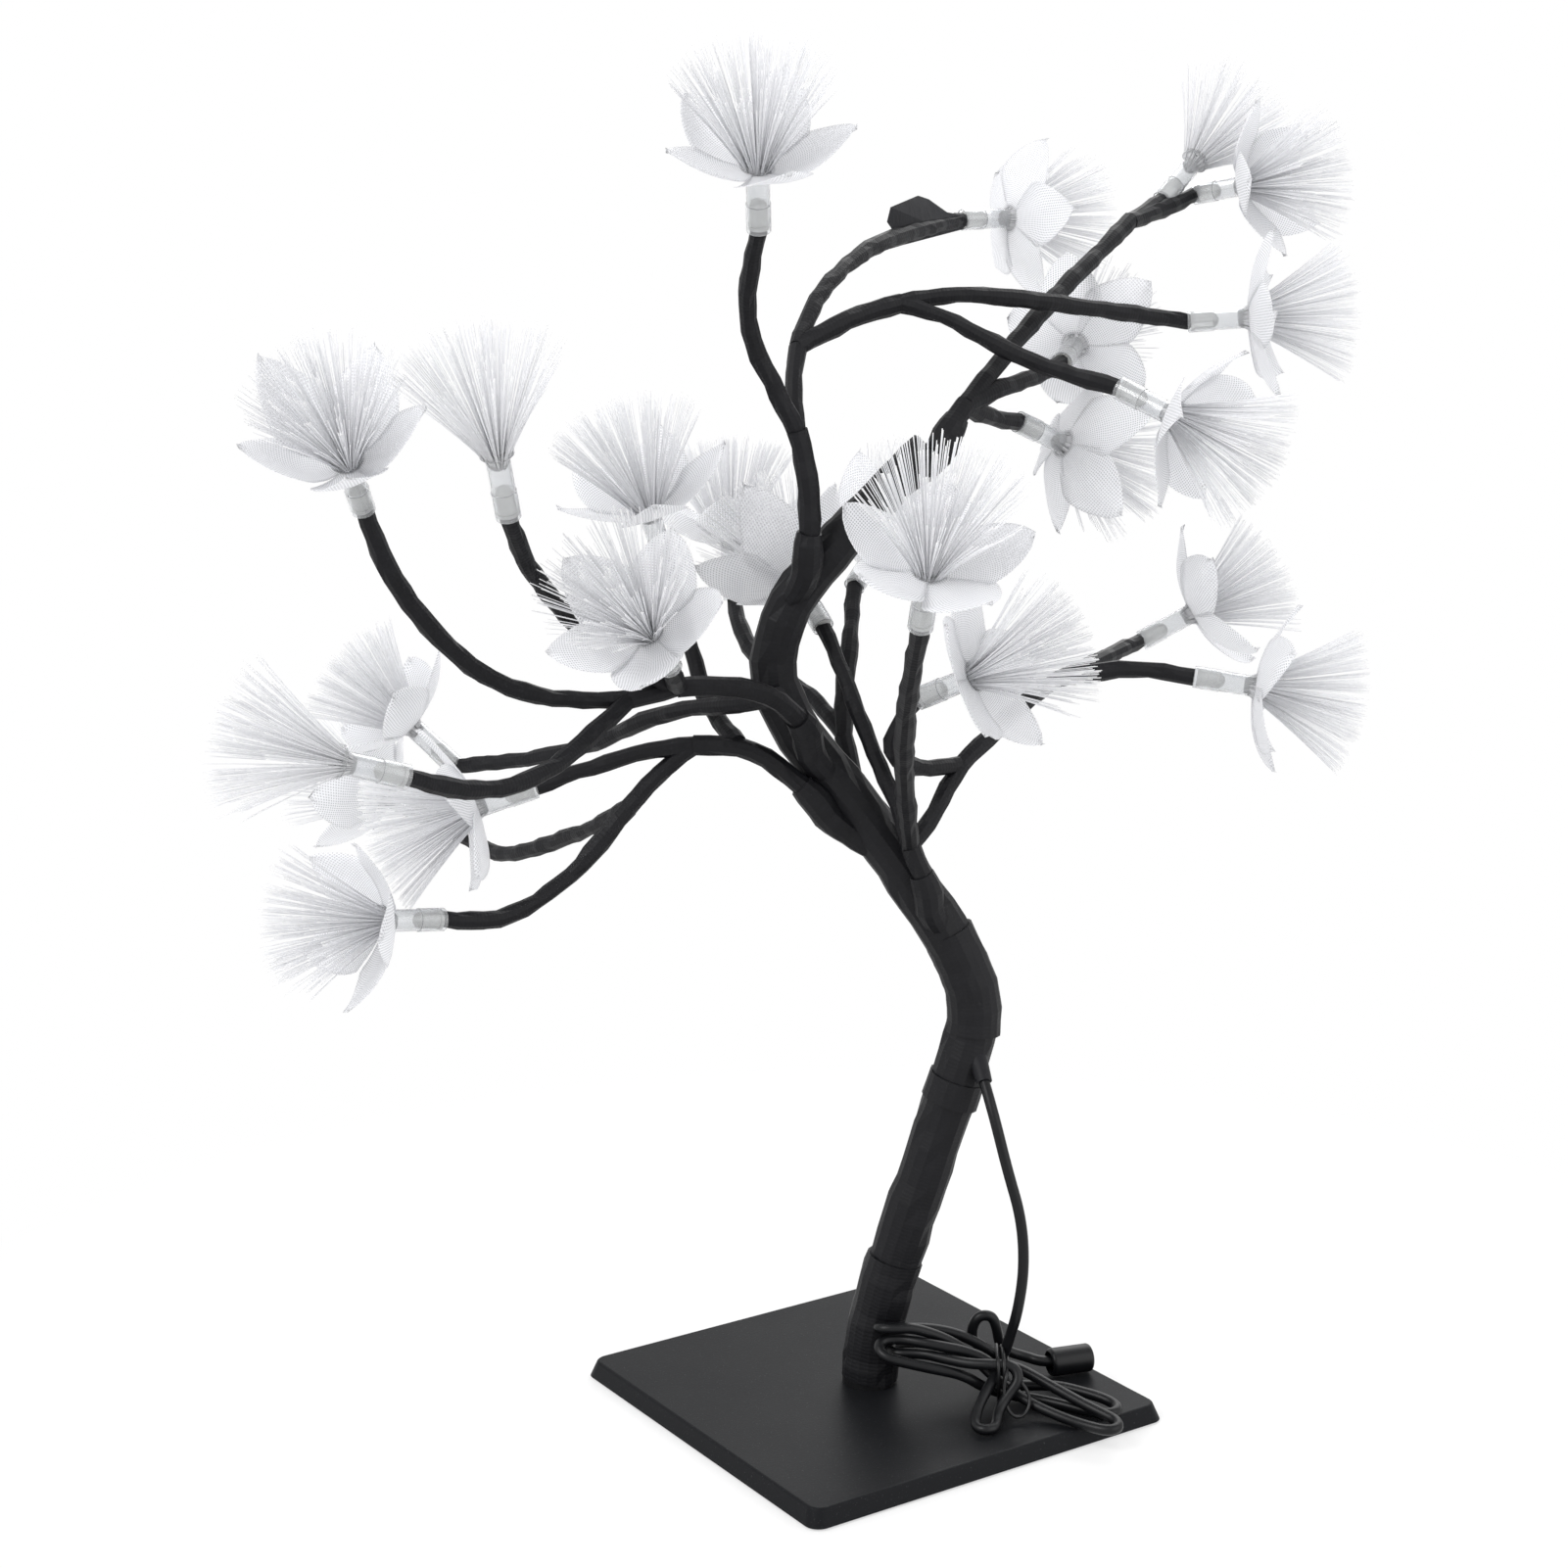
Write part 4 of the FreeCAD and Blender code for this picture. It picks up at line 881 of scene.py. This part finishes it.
def make_petals(name, lamps):
    """The cloth petals of one limb's blossoms."""
    meshes, stands = [], []
    for index, (route, direction, rise) in enumerate(lamps):
        if rise:
            meshes.append(corolla_mesh(random.Random("petals " + name + str(index)), rise))
            stands.append(lamp_stand(route[-1], direction))
    petals = join_meshes("limb_" + name + "_blossoms", meshes, stands)
    smooth(petals)
    thickness = petals.modifiers.new("cloth thickness", "SOLIDIFY")
    thickness.thickness = CLOTH_THICKNESS
    thickness.offset = 0
    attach(petals, "limb_" + name)
    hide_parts("limb_" + name + "_petals")


def dress(node, material):
    """Gives a piece of the frame its finish."""
    thing = NODES[node]
    thing.data.materials.clear()
    thing.data.materials.append(material)


FINISHES = {
    "foot_cover": STEEL, "ballast_plate": DRAWN_STEEL, "foot_screw": PLATED, "foot_pad": FOAM,
    "trunk_tube": DRAWN_STEEL, "thread_plug": DRAWN_STEEL, "foot_ring": PLASTIC, "trunk_wires": RUBBER,
    "lead_collar": TAPE, "power_socket": RUBBER, "power_contacts": NICKEL,
}
LIMB_FINISHES = {"sleeves": CLEAR, "ferrules": CLEAR, "leds": RESIN, "wires": DRAWN_STEEL}


def make_camera():
    """The camera, level with the middle of the tree and a little above it."""
    yaw, pitch, roll = [math.radians(angle) for angle in CAMERA_ANGLES]
    ahead = Vector((math.cos(pitch) * math.sin(yaw), math.cos(pitch) * math.cos(yaw), math.sin(pitch)))
    right = Vector((math.cos(yaw), -math.sin(yaw), 0))
    up = right.cross(ahead)
    right, up = (math.cos(roll) * right + math.sin(roll) * up, -math.sin(roll) * right + math.cos(roll) * up)
    turn = Matrix.Rotation(-TREE_TURN, 3, "Z")
    axes = Matrix((turn @ right, turn @ up, turn @ -ahead)).transposed()
    data = bpy.data.cameras.new("camera")
    data.sensor_width = SENSOR_WIDTH
    data.sensor_fit = "HORIZONTAL"
    data.lens = CAMERA_FOCUS * SENSOR_WIDTH
    data.clip_start = 0.01
    camera = link("camera", data)
    camera.matrix_world = Matrix.Translation(spot(*CAMERA_PLACE)) @ axes.to_4x4()
    bpy.context.scene.camera = camera


def soft_lamp(name, place_at, target, size, watts):
    """A square soft lamp at a place, turned to a target."""
    data = bpy.data.lights.new(name, "AREA")
    data.shape = "SQUARE"
    data.size = size
    data.energy = watts
    lamp = link(name, data)
    lamp.location = place_at
    lamp.rotation_euler = (Vector(target) - Vector(place_at)).to_track_quat("-Z", "Y").to_euler()


def make_studio():
    """A pale floor, a white surround and soft lamps."""
    mesh = bpy.data.meshes.new("floor")
    corners = [(-1, -1), (1, -1), (1, 1), (-1, 1)]
    mesh.from_pydata([(x * FLOOR_HALF_SIDE, y * FLOOR_HALF_SIDE, 0) for x, y in corners], [], [(0, 1, 2, 3)])
    mesh.materials.append(floor_finish())
    floor = link("floor", mesh)
    floor.location = (0, 0, -FLOOR_DROP)
    world = bpy.data.worlds.new("surround")
    world.use_nodes = True
    bpy.context.scene.world = world
    world.node_tree.nodes.clear()
    nodes = Nodes(world.node_tree)
    output = world.node_tree.nodes.new("ShaderNodeOutputWorld")
    strength = SURROUND_LIGHT + seen_by_camera(nodes) * (1 - SURROUND_LIGHT)
    show(nodes, output, nodes.add("ShaderNodeBackground", {}, {"Color": (1, 1, 1, 1), "Strength": strength}))
    middle = (0, 0, 0.22)
    soft_lamp("key", spot(-700, -650, 900), middle, 0.7, 9.0)
    soft_lamp("fill", spot(800, -500, 500), middle, 0.9, 3.5)
    soft_lamp("rim", spot(300, 800, 800), middle, 0.8, 5.0)


make_camera()
make_cord()
make_trunk_tape()
limb_tufts = grow_tufts()
for limb_name, (limb_stems, limb_lamps) in LIMBS.items():
    make_limb_tape(limb_name, limb_stems, limb_lamps)
    make_fibres(limb_name, limb_lamps, limb_tufts)
    make_petals(limb_name, limb_lamps)
    for part_name, material in LIMB_FINISHES.items():
        dress("limb_" + limb_name + "_" + part_name, material)
for node_name, material in FINISHES.items():
    dress(node_name, material)
make_studio()
bpy.context.scene.view_settings.view_transform = "Standard"
